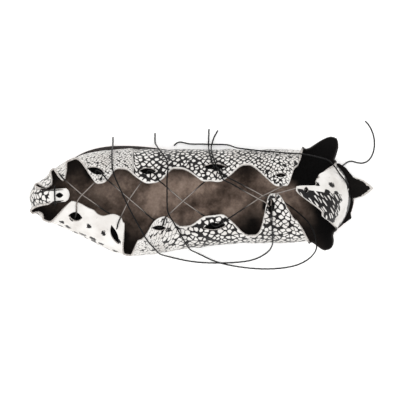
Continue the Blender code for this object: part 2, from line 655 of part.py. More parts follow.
def strand_end(hide, tab, shift, is_over, target):
    """Two points of a strand over or under a tab, in line with a target: inside the tab, then at its edge."""
    away = STRAND_CLEARANCE + LACE_DIAMETER / 2
    offset = away if is_over else -away - HIDE_THICKNESS
    distance, height = hide.edge(tab, shift)
    normal, edge, climb = hide.frame(distance, height)
    rim = hide.point(distance, height)
    pull = Vector(((target - rim).dot(edge), (target - rim).dot(climb))).normalized()
    inner = distance - pull.x * STRAND_REACH, height - abs(pull.y) * STRAND_REACH
    inner_normal, _, _ = hide.frame(*inner)
    return [hide.point(*inner) + inner_normal * offset * MM, rim + normal * offset * MM]


def build_crossing(hide, crossing, group, cutters, finish):
    """Two strands of the cord that meet over the throat, joined."""
    heights = []
    for strand in crossing.strands:
        heights.append(hide.point(*hide.edge(strand.over, strand.over_shift)).z / MM)
        heights.append(hide.point(*hide.edge(strand.under, strand.under_shift)).z / MM)
    meeting = place(crossing.along, crossing.across, sum(heights) / len(heights) - STRAND_SAG)
    meshes = []
    for strand in crossing.strands:
        over = strand_end(hide, strand.over, strand.over_shift, True, meeting)
        under = strand_end(hide, strand.under, strand.under_shift, False, meeting)
        meshes.append(cord_mesh(crossing.name, [*over, meeting, *under[::-1]]))
    joined = add_object(crossing.name, meshes[0], group, finish)
    other = add_object(f"{crossing.name}_second", meshes[1], cutters)
    other.hide_render = True
    other.display_type = "WIRE"
    join = joined.modifiers.new("joined", "BOOLEAN")
    join.operation = "UNION"
    join.solver = "EXACT"
    join.object = other


def build_heel_bar(hide, group, finish):
    """The strand from the last tab to the tip of the heel wall."""
    start = hide.point(*hide.edge(HEEL_BAR.over, HEEL_BAR.over_shift))
    end = hide.point(*hide.edge(HEEL_BAR.under, HEEL_BAR.under_shift))
    over = strand_end(hide, HEEL_BAR.over, HEEL_BAR.over_shift, True, end)
    under = strand_end(hide, HEEL_BAR.under, HEEL_BAR.under_shift, False, start)
    add_object("lace_heel_bar", cord_curve("lace_heel_bar", [*over, *under[::-1]]), group, finish)


def build_lace_ends(group, finish):
    """The loose ends of the cord, down to the floor and over the throat."""
    for name, route in LACE_ROUTES.items():
        path = smooth_path(route, ROUTE_SPACING)
        path[:, 2] = np.maximum(path[:, 2], LACE_DIAMETER / 2 + FLOOR_GAP)
        add_object(name, cord_curve(name, [place(*point) for point in path]), group, finish)


def build_heel_tab(group, finish):
    """A leather flap round the back of the heel, with a pointed tab that lifts off the floor."""
    shape = bmesh.new()
    grid = []
    for row in HEEL_FLAP:
        line = []
        for along in np.linspace(row.inner, row.outer, HEEL_FLAP_COLUMNS + 1):
            share = max(0.0, HEEL_FLAP_BASE - along) / (HEEL_FLAP_BASE - HEEL_TAB_TIP)
            up = SOLE_THICKNESS + SEAT_GAP + HEEL_TAB_LIFT * share**2
            line.append(shape.verts.new(place(along, row.across, up)))
        grid.append(line)
    for here, following in zip(grid, grid[1:]):
        for k in range(HEEL_FLAP_COLUMNS):
            shape.faces.new((here[k], here[k + 1], following[k + 1], following[k]))
    bmesh.ops.recalc_face_normals(shape, faces=shape.faces)
    if shape.faces[0].normal.z > 0:
        bmesh.ops.reverse_faces(shape, faces=shape.faces)
    tab = add_object("heel_tab", mesh_from("heel_tab", shape), group, finish)
    thicken = tab.modifiers.new("thickness", "SOLIDIFY")
    thicken.thickness = HIDE_THICKNESS * MM
    thicken.offset = -1.0


def main():
    for old in list(bpy.data.objects):
        bpy.data.objects.remove(old)
    shoe = collection("laced_slipper")
    cutters = collection("cutters")
    sole_leather = material("sole_leather", (0.23, 0.10, 0.06), 0.6)
    printed_hide = material("printed_hide", (0.62, 0.61, 0.58), 0.45)
    suede = material("suede", (0.035, 0.026, 0.022), 0.9)
    waxed_cord = material("waxed_cord", (0.012, 0.012, 0.012), 0.4)
    hide = Hide()
    build_outsole(shoe, sole_leather)
    build_upper(hide, shoe, cutters, printed_hide)
    build_heel_tab(shoe, suede)
    for crossing in CROSSINGS:
        build_crossing(hide, crossing, shoe, cutters, waxed_cord)
    build_heel_bar(hide, shoe, waxed_cord)
    build_lace_ends(shoe, waxed_cord)


main()
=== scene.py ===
"""Looks of the laced hide slipper, a left shoe.

A hide printed with snake scales is folded up round the foot from a flat brown leather sole. Its edge is cut
into slotted tabs, and one thin black cord draws them together over the throat. Lengths in the tables are
millimetres, read from the back of the heel: "along" towards the toe, "across" towards the outer side of the
foot, "up" from the floor. The model is in metres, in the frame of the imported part.
"""

import math
from collections import namedtuple
from functools import partial

import bmesh
import bpy
import numpy as np
from mathutils import Matrix, Vector


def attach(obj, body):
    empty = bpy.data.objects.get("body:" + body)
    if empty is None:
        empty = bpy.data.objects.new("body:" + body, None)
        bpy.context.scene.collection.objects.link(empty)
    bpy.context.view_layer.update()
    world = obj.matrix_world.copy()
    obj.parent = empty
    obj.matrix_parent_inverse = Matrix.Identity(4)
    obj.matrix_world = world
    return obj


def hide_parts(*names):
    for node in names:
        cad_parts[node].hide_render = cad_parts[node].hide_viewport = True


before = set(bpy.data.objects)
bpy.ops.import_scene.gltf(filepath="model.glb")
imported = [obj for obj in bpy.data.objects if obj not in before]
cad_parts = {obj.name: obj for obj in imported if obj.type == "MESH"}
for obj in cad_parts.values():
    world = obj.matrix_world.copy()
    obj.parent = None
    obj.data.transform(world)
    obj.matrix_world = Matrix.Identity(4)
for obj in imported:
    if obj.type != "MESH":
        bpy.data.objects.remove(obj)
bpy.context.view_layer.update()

# Outsole. One flat piece of thick brown leather, cut to the foot and eased by hand along its edge, greyed by
# wear and cracked across the ball. It is sewn to the hide with thread that lies in a groove near its edge.
MM = 0.001
SOLE_LENGTH = 256.0
BALL_WIDTH = 91.0
TOE_SPRING = 7.0
SPRING_START = 205.0
TOE_REACH = 275.0
MEDIAL = "medial"
LATERAL = "lateral"
ENDS = "ends"
CURVE_SAMPLES = 80
SOLE_COLUMNS = 150
TREAD_STRIPS = 18
GROOVE_INSET = 5.0
GROOVE_HEIGHT = 0.35
INTERIOR_INSET = 12.0
BALL_TREAD = (0.074, 0.014, 0.0)
# Points of the outline, from the heel's back by the inner side to the toe and round: along as a share of
# SOLE_LENGTH, across as a share of half BALL_WIDTH
SOLE_OUTLINE = (
    (0.000, 0.00), (0.036, -0.52), (0.180, -0.79), (0.390, -0.73), (0.590, -0.92),
    (0.760, -1.04), (0.890, -0.94), (0.968, -0.62), (1.000, -0.12), (0.975, 0.28),
    (0.895, 0.62), (0.770, 0.95), (0.610, 0.87), (0.435, 0.66), (0.160, 0.77),
    (0.030, 0.48),
)
# The sole's section, from the tread up its edge: inset from the outline, up
SOLE_PROFILE = (
    (6.0, 0.0), (5.5, 0.6), (5.0, 0.75), (4.5, 0.6), (4.0, 0.0), (1.1, 0.0),
    (0.4, 0.2), (0.0, 0.9), (0.1, 1.8), (0.0, 2.8), (0.4, 3.4), (1.1, 3.5),
)


def travelled(points):
    """Distance along a line of points, from its first point to each."""
    return np.concatenate([[0.0], np.cumsum(np.linalg.norm(np.diff(points, axis=0), axis=1))])


def smooth_curve(knots, closed):
    """Close points on a curve through the knots that bends without a jump."""
    count = len(knots)
    runs = np.roll(knots, -1, axis=0) - knots
    steps = np.linalg.norm(runs, axis=1)
    ahead = runs / steps[:, None]
    system = np.zeros((count, count))
    wanted = np.zeros_like(knots)
    for i in range(count):
        before, after = (i - 1) % count, (i + 1) % count
        system[i, before] = steps[i]
        system[i, i] = 2 * (steps[before] + steps[i])
        system[i, after] = steps[before]
        wanted[i] = 3 * (steps[before] * ahead[i] + steps[i] * ahead[before])
    if not closed:
        system[0], system[-1] = np.eye(count)[0], np.eye(count)[-1]
        wanted[0], wanted[-1] = ahead[0], ahead[-2]
    slopes = np.linalg.solve(system, wanted)
    share = np.linspace(0.0, 1.0, CURVE_SAMPLES, endpoint=False)[:, None]
    fall = 2 * share**3 - 3 * share**2 + 1
    leave = share**3 - 2 * share**2 + share
    arrive = share**3 - share**2
    pieces = []
    for i in range(count if closed else count - 1):
        after = (i + 1) % count
        bend = (leave * slopes[i] + arrive * slopes[after]) * steps[i]
        pieces.append(fall * knots[i] + (1 - fall) * knots[after] + bend)
    return np.vstack([*pieces, knots[:1] if closed else knots[-1:]])


class Outline:
    """A smooth closed plan curve through points, read by the distance along it from the heel."""

    def __init__(self, points, along_scale=1.0, across_scale=1.0):
        knots = np.array([(along * along_scale, across * across_scale) for along, across in points])
        self.points = smooth_curve(knots, closed=True)
        self.distance = travelled(self.points)
        self.length = self.distance[-1]
        self.toe = self.distance[np.argmax(self.points[:, 0])]

    def point(self, distance):
        """Plan point at a distance along the curve."""
        at = distance % self.length
        return np.array([np.interp(at, self.distance, self.points[:, axis]) for axis in (0, 1)])

    def inward(self, distance, reach=1.0):
        """Direction, in radians, of the normal that points to the inside of the curve."""
        tangent = self.point(distance + reach) - self.point(distance - reach)
        return math.atan2(tangent[0], -tangent[1])

    def inset_point(self, distance, inset):
        """Plan point so far inside the curve."""
        turn = self.inward(distance)
        return self.point(distance) + inset * np.array([math.cos(turn), math.sin(turn)])

    def distance_at(self, along, side):
        """Distance of the point that lies so far along the shoe, on one side of it."""
        on_side = self.distance <= self.toe if side == MEDIAL else self.distance >= self.toe
        misfit = np.where(on_side, np.abs(self.points[:, 0] - along), np.inf)
        return self.distance[np.argmin(misfit)]

    def side_columns(self, count):
        """Distances of count steps on each side, from heel to toe."""
        share = np.linspace(0.0, 1.0, count + 1)
        return share * self.toe, self.length - share * (self.length - self.toe)


def place(along, across, up):
    """A point of the shoe as a point of the model."""
    return Vector(((along - SOLE_LENGTH / 2) * MM, across * MM, up * MM))


def toe_rise(along):
    """How far the sole and the floor of the hide lift towards the toe."""
    share = max(0.0, along - SPRING_START) / (TOE_REACH - SPRING_START)
    return TOE_SPRING * share**2


def fill_strips(shape, medial, lateral, strips):
    """Faces, looking down, between two sides that share their heel and toe points."""
    last = len(medial) - 1
    rows = [[medial[0]] * (strips + 1)]
    for k in range(1, last):
        inner = [medial[k].co.lerp(lateral[k].co, step / strips) for step in range(1, strips)]
        rows.append([medial[k], *(shape.verts.new(point) for point in inner), lateral[k]])
    rows.append([medial[last]] * (strips + 1))
    faces = []
    for here, following in zip(rows, rows[1:]):
        for k in range(strips):
            corners = [here[k], here[k + 1], following[k + 1], following[k]]
            faces.append(shape.faces.new(list(dict.fromkeys(corners))))
    return faces


def ring_sides(ring, count):
    """The medial and the lateral side of a ring, each from the heel to the toe."""
    return ring[: count + 1], [ring[0], *ring[:count:-1], ring[count]]


def put(name, data):
    """A new object of the scene, at the origin of the model."""
    made = bpy.data.objects.new(name, data)
    bpy.context.scene.collection.objects.link(made)
    return made


def finished(name, shape, sharp_deg=50.0):
    """A smooth object from a built shape."""
    mesh = bpy.data.meshes.new(name)
    shape.to_mesh(mesh)
    shape.free()
    mesh.shade_smooth()
    mesh.set_sharp_from_angle(angle=math.radians(sharp_deg))
    return put(name, mesh)


def linear(hex_colour):
    """A colour for a shader socket from its sRGB code."""
    parts = [int(hex_colour[i : i + 2], 16) / 255 for i in (1, 3, 5)]
    return (*(c / 12.92 if c <= 0.04045 else ((c + 0.055) / 1.055) ** 2.4 for c in parts), 1.0)


def set_inputs(node, inputs):
    """Sets a node's inputs, each to a value, or by a link from a socket or from a node's first output."""
    for name, value in inputs.items():
        if isinstance(value, bpy.types.Node):
            value = next(output for output in value.outputs if output.enabled)
        if isinstance(value, bpy.types.NodeSocket):
            node.id_data.links.new(value, node.inputs[name])
        else:
            node.inputs[name].default_value = value


def add_node(tree, family, kind, inputs=None, stops=(), **settings):
    """A node with its settings and links. A colour ramp has stops too, each a position and a colour code."""
    made = tree.nodes.new(family + kind)
    for name, value in settings.items():
        setattr(made, name, value)
    for _ in stops[2:]:
        made.color_ramp.elements.new(0.5)
    for i, (position, colour) in enumerate(stops):
        made.color_ramp.elements[i].position = position
        made.color_ramp.elements[i].color = linear(colour)
    set_inputs(made, inputs or {})
    return made


def new_finish(name):
    """A new material, with what adds its nodes, its shader and the coordinates of the piece."""
    made = bpy.data.materials.new(name)
    made.use_nodes = True
    add = partial(add_node, made.node_tree, "ShaderNode")
    return made, add, made.node_tree.nodes["Principled BSDF"], add("TexCoord").outputs["Object"]


sole_line = Outline(SOLE_OUTLINE, SOLE_LENGTH, BALL_WIDTH / 2)
sole_shape = bmesh.new()
sole_steps = {}
sole_columns = []
medial_steps, lateral_steps = sole_line.side_columns(SOLE_COLUMNS)
for distance in (*medial_steps, *lateral_steps[-2:0:-1]):
    column = []
    for inset, up in SOLE_PROFILE:
        x, y = sole_line.inset_point(distance, inset)
        vert = sole_shape.verts.new(place(x, y, toe_rise(x) + up))
        sole_steps[vert] = (inset, up)
        column.append(vert)
    sole_columns.append(column)
for here, following in zip(sole_columns, sole_columns[1:] + sole_columns[:1]):
    for low in range(len(SOLE_PROFILE) - 1):
        sole_shape.faces.new((here[low], following[low], following[low + 1], here[low + 1]))
for row in (0, -1):
    edge = [column[row] for column in sole_columns]
    fill_strips(sole_shape, *ring_sides(edge, SOLE_COLUMNS), TREAD_STRIPS)
bmesh.ops.recalc_face_normals(sole_shape, faces=sole_shape.faces)
inset_layer = sole_shape.verts.layers.float.new("edge_inset")
rise_layer = sole_shape.verts.layers.float.new("edge_rise")
for vert in sole_shape.verts:
    rise = vert.co.z / MM - toe_rise(vert.co.x / MM + SOLE_LENGTH / 2)
    vert[inset_layer], vert[rise_layer] = sole_steps.get(vert, (INTERIOR_INSET, rise))
outsole = finished("sole", sole_shape)

# Worn brown sole leather: blotches of 33 mm under a grain of 1.5 mm, creased into grey plates under the
# waist, dark where the ball treads, tan along the edge, and near black along its upper rim: partly edge dye,
# mostly painted shadow under the hide's overhang
sole_leather, add, shader, spot = new_finish("worn_sole_leather")
blotches = add("TexNoise", {"Vector": spot, "Scale": 30.0, "Detail": 5.0, "Roughness": 0.6})
grain = add("TexNoise", {"Vector": spot, "Scale": 650.0, "Detail": 4.0})
mottle = add("Math", {0: grain, 1: 0.6, 2: blotches}, operation="MULTIPLY_ADD")
colour = add("ValToRGB", {"Fac": mottle}, ((0.6, "#51332a"), (0.8, "#7a4f3f"), (1.0, "#99705e")))
tread = add("VectorMath", {0: spot, 1: BALL_TREAD}, operation="DISTANCE")
# Creases every 3 mm along the sole and 5 mm across it
creased = add("Mapping", {"Vector": spot, "Scale": (330.0, 200.0, 200.0)})
plates = add("TexVoronoi", {"Vector": creased, "Scale": 1.0}, feature="DISTANCE_TO_EDGE")
parts = add("SeparateXYZ", {"Vector": spot}).outputs
half_sole = SOLE_LENGTH / 2 * MM
share_along = add("MapRange", {"Value": parts["X"], "From Min": -half_sole, "From Max": half_sole})
waist_zone = add(
    "ValToRGB",
    {"Fac": share_along},
    ((0.24, "#000000"), (0.36, "#e0e0e0"), (0.6, "#e0e0e0"), (0.72, "#9a9a9a"), (0.95, "#5c5c5c")),
)
inset = add("Attribute", attribute_name="edge_inset").outputs["Fac"]
rise = add("Attribute", attribute_name="edge_rise").outputs["Fac"]
zones = {}
for name, value, start, full, most in (
    ("trodden", tread, 0.042, 0.014, 0.6),
    ("plate_tops", plates, 0.06, 0.3, 1.0),
    ("scuffed", mottle, 0.68, 0.95, 1.0),
    ("border", inset, 4.6, 3.6, 0.6),
    # Near black along the upper rim: partly edge dye, mostly painted shadow under the hide's overhang
    ("rim_dye_and_shadow", rise, 0.6, 2.2, 1.0),
):
    limits = {"Value": value, "From Min": start, "From Max": full, "To Max": most}
    zones[name] = add("MapRange", limits, interpolation_type="SMOOTHSTEP")
scuffed_plates = add("Math", {0: zones["plate_tops"], 1: zones["scuffed"]}, operation="MULTIPLY")
worn = add("Math", {0: scuffed_plates, 1: waist_zone}, operation="MULTIPLY")
for zone, tone in (
    (zones["trodden"], "#45291f"),
    (worn, "#b3a49c"),
    (zones["border"], "#a5745d"),
    (zones["rim_dye_and_shadow"], "#1d120e"),
):
    layers = {"Factor": zone, "A": colour, "B": linear(tone)}
    colour = add("Mix", layers, data_type="RGBA")
relief = add("Math", {0: grain, 1: worn}, operation="ADD")
bump = add("Bump", {"Height": relief, "Strength": 0.35, "Distance": 0.0006})
gloss = add(
    "MapRange", {"Value": blotches, "From Min": 0.3, "From Max": 0.7, "To Min": 0.72, "To Max": 0.48}
)
set_inputs(shader, {"Base Color": colour, "Roughness": gloss, "Normal": bump})
outsole.data.materials.append(sole_leather)
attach(outsole, "root")
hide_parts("outsole")

# Sole stitches. One row of dark waxed thread, sewn by hand through the sole and the hide. It lies in a
# groove round the tread, which keeps it off the floor.
STITCH_PITCH = 4.6
STITCH_LENGTH = 3.9
THREAD = 0.75
GROOVE_STEPS = 420


def plain_piece(name, made):
    """A new object with the mesh that another one's modifiers give, in place of that one."""
    bpy.context.view_layer.update()
    mesh = bpy.data.meshes.new_from_object(made.evaluated_get(bpy.context.evaluated_depsgraph_get()))
    bpy.data.objects.remove(made)
    return put(name, mesh)


# Waxed thread: dark brown and half matt, with fibres of 0.6 mm
thread, add, shader, spot = new_finish("waxed_sole_thread")
fibres = add("TexNoise", {"Vector": spot, "Scale": 1800.0, "Detail": 2.0})
dye = add("ValToRGB", {"Fac": fibres}, ((0.35, "#1b1310"), (0.65, "#3a2a22")))
bump = add("Bump", {"Height": fibres, "Strength": 0.4, "Distance": 0.0002})
set_inputs(shader, {"Base Color": dye, "Roughness": 0.55, "Normal": bump})

sewing = bpy.data.node_groups.new("sole_stitches", "GeometryNodeTree")
sockets = {}
for name, kind in (
    ("Stitch line", "NodeSocketGeometry"),
    ("Pitch", "NodeSocketFloat"),
    ("Stitch length", "NodeSocketFloat"),
    ("Thread", "NodeSocketFloat"),
    ("Finish", "NodeSocketMaterial"),
):
    sockets[name] = sewing.interface.new_socket(name, in_out="INPUT", socket_type=kind).identifier
sewing.interface.new_socket("Stitches", in_out="OUTPUT", socket_type="NodeSocketGeometry")
add = partial(add_node, sewing, "GeometryNode")
given = add_node(sewing, "NodeGroup", "Input").outputs
spots = add("CurveToPoints", {"Curve": given["Stitch line"], "Length": given["Pitch"]}, mode="LENGTH")
bead = add("MeshUVSphere", {"Segments": 6, "Rings": 5, "Radius": 0.5})
measure = add_node(
    sewing,
    "ShaderNode",
    "CombineXYZ",
    {"X": given["Thread"], "Y": given["Thread"], "Z": given["Stitch length"]},
)
laid = add(
    "InstanceOnPoints",
    {"Points": spots, "Instance": bead, "Rotation": spots.outputs["Rotation"], "Scale": measure},
)
real = add("RealizeInstances", {"Geometry": laid})
dyed = add("SetMaterial", {"Geometry": real, "Material": given["Finish"]})
add_node(sewing, "NodeGroup", "Output", {"Stitches": dyed})

groove = bpy.data.curves.new("stitch_line", "CURVE")
groove.dimensions = "3D"
groove_line = groove.splines.new("POLY")
groove_line.points.add(GROOVE_STEPS - 1)
groove_line.use_cyclic_u = True
for i, knot in enumerate(groove_line.points):
    x, y = sole_line.inset_point(i * sole_line.length / GROOVE_STEPS, GROOVE_INSET)
    knot.co = (*place(x, y, toe_rise(x) + GROOVE_HEIGHT), 1.0)
stitch_row = put("stitch_row", groove)
sewn = stitch_row.modifiers.new("stitches", "NODES")
sewn.node_group = sewing
sewn[sockets["Pitch"]] = STITCH_PITCH * MM
sewn[sockets["Stitch length"]] = STITCH_LENGTH * MM
sewn[sockets["Thread"]] = THREAD * MM
sewn[sockets["Finish"]] = thread
stitches = plain_piece("sole_stitches", stitch_row)
stitches.data.shade_smooth()
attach(stitches, "root")

# Upper. One soft hide with a black snake-scale print on its white outer face and dark brown suede inside. It
# is folded up from the sole, drawn in by the cord, and its edge is cut by hand into slotted tabs.
HIDE_THICKNESS = 1.6
SOLE_THICKNESS = 3.5
SEAT_GAP = 0.3
BEND_LENGTH = 7.0
BEND_START_DEG = 18.0
BEND_INSET = 4.0
LEAN_GAUGE = 50.0
FLARE_POWER = 3.0
EDGE_PACE = 0.6
EDGE_SAMPLES = 1400
HIDE_COLUMNS = 215
BEND_ROWS = 4
WALL_ROWS = 34
FLOOR_STRIPS = 14
LOOP_NUDGE = 1e-6
STRAIGHT = 1e-9
# Points at the foot of the wall, along and across, in the same order round the shoe
WALL_OUTLINE = (
    (2.5, 0.0), (11.0, -23.5), (42.0, -38.0), (104.0, -40.0), (150.0, -42.0),
    (194.0, -44.0), (228.0, -40.5), (249.0, -32.5), (265.0, -20.0), (TOE_REACH, -9.0),
    (270.5, 7.5), (256.0, 16.5), (226.0, 31.5), (196.0, 44.5), (150.0, 41.5),
    (106.0, 36.5), (42.0, 36.5), (11.0, 23.0),
)

# One row for each tab and notch. wall: hide from the bend to the edge; flat: half the edge at that length;
# foot and lean: angle at the foot and after LEAN_GAUGE of hide, 90 upright; swing: turn to the toe, if any
Section = namedtuple("Section", "name side along wall flat foot lean swing", defaults=(0.0,))
WALL_SECTIONS = (
    ("heel_wall", ENDS, 3.0, 74.0, 1.0, 93.0, 148.0, 9.0),
    ("heel_shoulder_medial", MEDIAL, 3.6, 54.0, 0.5, 93.0, 148.0, 18.0),
    ("heel_side_medial", MEDIAL, 7.7, 48.5, 0.5, 91.0, 145.0, 27.0),
    ("heel_fold_medial", MEDIAL, 18.6, 10.0, 0.3, 72.0, 108.0, 26.0),
    ("heel_lobe_medial", MEDIAL, 25.0, 20.0, 2.0, 31.0, 36.0, 6.0),
    ("quarter_foot_medial", MEDIAL, 41.6, 3.0, 0.8, 52.0, 80.0, 4.0),
    ("quarter_flank_medial", MEDIAL, 46.5, 41.0, 0.0, 79.0, 152.0, -4.0),
    ("quarter_tab_medial", MEDIAL, 64.0, 60.0, 3.0, 80.0, 155.0, -8.0),
    ("quarter_notch_medial", MEDIAL, 91.0, 40.0, 1.5, 78.0, 152.0),
    ("instep_tab_medial", MEDIAL, 119.0, 55.0, 6.0, 74.0, 161.0),
    ("instep_notch_medial", MEDIAL, 149.0, 42.0, 2.0, 78.0, 160.0),
    ("ball_tab_medial", MEDIAL, 171.0, 54.0, 3.0, 82.0, 163.0),
    ("ball_notch_medial", MEDIAL, 199.0, 41.0, 2.0, 82.0, 160.0),
    ("toe_tab_medial", MEDIAL, 219.0, 52.0, 2.5, 82.0, 163.0),
    ("toe_notch_medial", MEDIAL, 241.0, 14.0, 3.0, 86.0, 106.0),
    ("toe_strip_medial", MEDIAL, 249.5, 34.0, 1.0, 88.0, 160.0, 20.0),
    ("toe_gap_medial", MEDIAL, 256.0, 12.0, 1.4, 80.0, 110.0, 10.0),
    ("toe_ear_medial", MEDIAL, 263.0, 27.0, 2.4, 86.0, 165.0, 10.0),
    ("toe_slit_medial", MEDIAL, 269.5, 12.0, 0.8, 80.0, 120.0),
    ("toe_strap", ENDS, TOE_REACH, 56.0, 5.6, 84.0, 172.0, -3.0),
    ("toe_slit_lateral", LATERAL, 272.0, 12.0, 1.4, 72.0, 100.0),
    ("toe_ear_lateral", LATERAL, 268.0, 20.0, 0.8, 84.0, 140.0),
    ("toe_gap_lateral", LATERAL, 262.0, 13.0, 2.4, 80.0, 100.0),
    ("toe_tab_lateral", LATERAL, 241.0, 49.2, 9.5, 82.0, 163.0),
    ("toe_dip_lateral", LATERAL, 227.5, 47.8, 1.5, 82.0, 163.0),
    ("ball_tab_lateral", LATERAL, 214.0, 54.2, 2.5, 82.0, 164.0),
    ("ball_corner_lateral", LATERAL, 205.8, 50.8, 0.0, 82.0, 164.0),
    ("ball_notch_lateral", LATERAL, 193.0, 13.0, 2.0, 80.0, 120.0),
    ("joint_flank_lateral", LATERAL, 184.0, 37.0, 0.0, 82.0, 159.0),
    ("joint_tab_lateral", LATERAL, 159.0, 55.0, 2.0, 82.0, 163.0),
    ("joint_notch_lateral", LATERAL, 142.0, 45.0, 2.0, 80.0, 158.0),
    ("instep_tab_lateral", LATERAL, 118.0, 54.0, 7.0, 74.0, 159.0),
    ("instep_notch_lateral", LATERAL, 88.0, 31.0, 2.0, 78.0, 148.0),
    ("quarter_tab_lateral", LATERAL, 61.0, 70.0, 2.0, 80.0, 160.0, 9.0),
    ("quarter_flank_lateral", LATERAL, 43.4, 46.0, 0.0, 79.0, 156.0, 11.0),
    ("quarter_foot_lateral", LATERAL, 39.0, 3.0, 0.4, 60.0, 92.0, 12.0),
    ("heel_lobe_lateral", LATERAL, 29.5, 13.0, 2.4, 34.0, 42.0, 10.0),
    ("heel_fold_lateral", LATERAL, 19.4, 6.0, 0.3, 72.0, 104.0, 24.0),
    ("heel_side_lateral", LATERAL, 8.0, 46.0, 0.0, 91.0, 145.0, 22.0),
)

# Slots for the cord. inset: hide between slot and tip; shift: along the edge to the toe; turn: in degrees
Slot = namedtuple("Slot", "tab inset half_long half_wide shift turn")
SLOTS = (
    Slot("heel_wall", 9.0, 2.6, 2.0, 0.0, 0.0),
    Slot("quarter_tab_medial", 10.0, 5.0, 2.2, 0.0, 0.0),
    Slot("instep_tab_medial", 14.0, 10.0, 3.4, -2.0, 0.0),
    Slot("ball_tab_medial", 11.0, 7.6, 3.2, 3.0, 0.0),
    Slot("toe_tab_medial", 12.5, 8.5, 3.6, 2.0, -36.0),
    Slot("toe_strap", 8.5, 3.4, 2.2, 0.0, 90.0),
    Slot("toe_tab_lateral", 13.5, 6.2, 5.0, 2.0, 20.0),
    Slot("ball_tab_lateral", 18.2, 10.0, 3.1, -4.5, -55.0),
    Slot("joint_tab_lateral", 9.0, 6.5, 2.4, 4.0, -14.0),
    Slot("instep_tab_lateral", 10.5, 10.0, 3.6, 0.0, 0.0),
    Slot("quarter_tab_lateral", 11.0, 6.4, 3.2, 5.0, 84.0),
)
SLOT_SIDE_POINTS = 14
SLOT_CUT_DEPTH = 4.0

# Creases: soft troughs, or ridges where the depth is below zero, from one point of the wall to another.
# Rows: side, along and hide above the floor at the start, the same at the end, depth, width
CREASES = (
    (MEDIAL, 205.0, 14.0, 196.0, 44.0, 0.9, 3.0),
    (MEDIAL, 190.0, 12.0, 186.0, 42.0, -0.6, 3.0),
    (MEDIAL, 183.0, 10.0, 181.0, 38.0, 0.8, 2.6),
    (MEDIAL, 158.0, 14.0, 150.0, 44.0, 0.8, 3.2),
    (MEDIAL, 143.0, 12.0, 147.0, 42.0, -0.5, 3.0),
    (MEDIAL, 104.0, 22.0, 88.0, 40.0, 0.8, 3.0),
    (MEDIAL, 108.0, 14.0, 96.0, 26.0, -0.7, 3.0),
    (MEDIAL, 80.0, 12.0, 66.0, 34.0, 0.8, 3.4),
    (MEDIAL, 236.0, 9.0, 228.0, 34.0, 0.7, 2.6),
    (MEDIAL, 262.0, 8.0, 262.0, 24.0, 0.6, 2.0),
    (LATERAL, 262.0, 9.0, 250.0, 34.0, 0.6, 2.6),
    (LATERAL, 232.0, 10.0, 226.0, 40.0, 0.7, 3.2),
    (LATERAL, 206.0, 9.0, 203.0, 30.0, -0.7, 2.8),
    (LATERAL, 178.0, 10.0, 172.0, 34.0, 0.8, 3.0),
    (LATERAL, 166.0, 12.0, 150.0, 40.0, 0.7, 3.0),
    (LATERAL, 132.0, 12.0, 140.0, 40.0, -0.6, 3.0),
    (LATERAL, 98.0, 12.0, 88.0, 30.0, 0.8, 3.0),
    (LATERAL, 72.0, 10.0, 66.0, 44.0, 0.7, 3.4),
    (LATERAL, 20.0, 14.0, 14.0, 44.0, 0.9, 3.0),
    (MEDIAL, 14.0, 12.0, 9.0, 40.0, 0.8, 3.0),
)
EDGE_WAVE = 0.35
EDGE_WAVE_LENGTH = 13.0
EDGE_WAVE_BEAT = 17.0
CREASE_OVERRUN = 0.3
CREASE_EASE = 0.45
CREASE_REACH = 3.0
CREASE_LEAST = 0.01

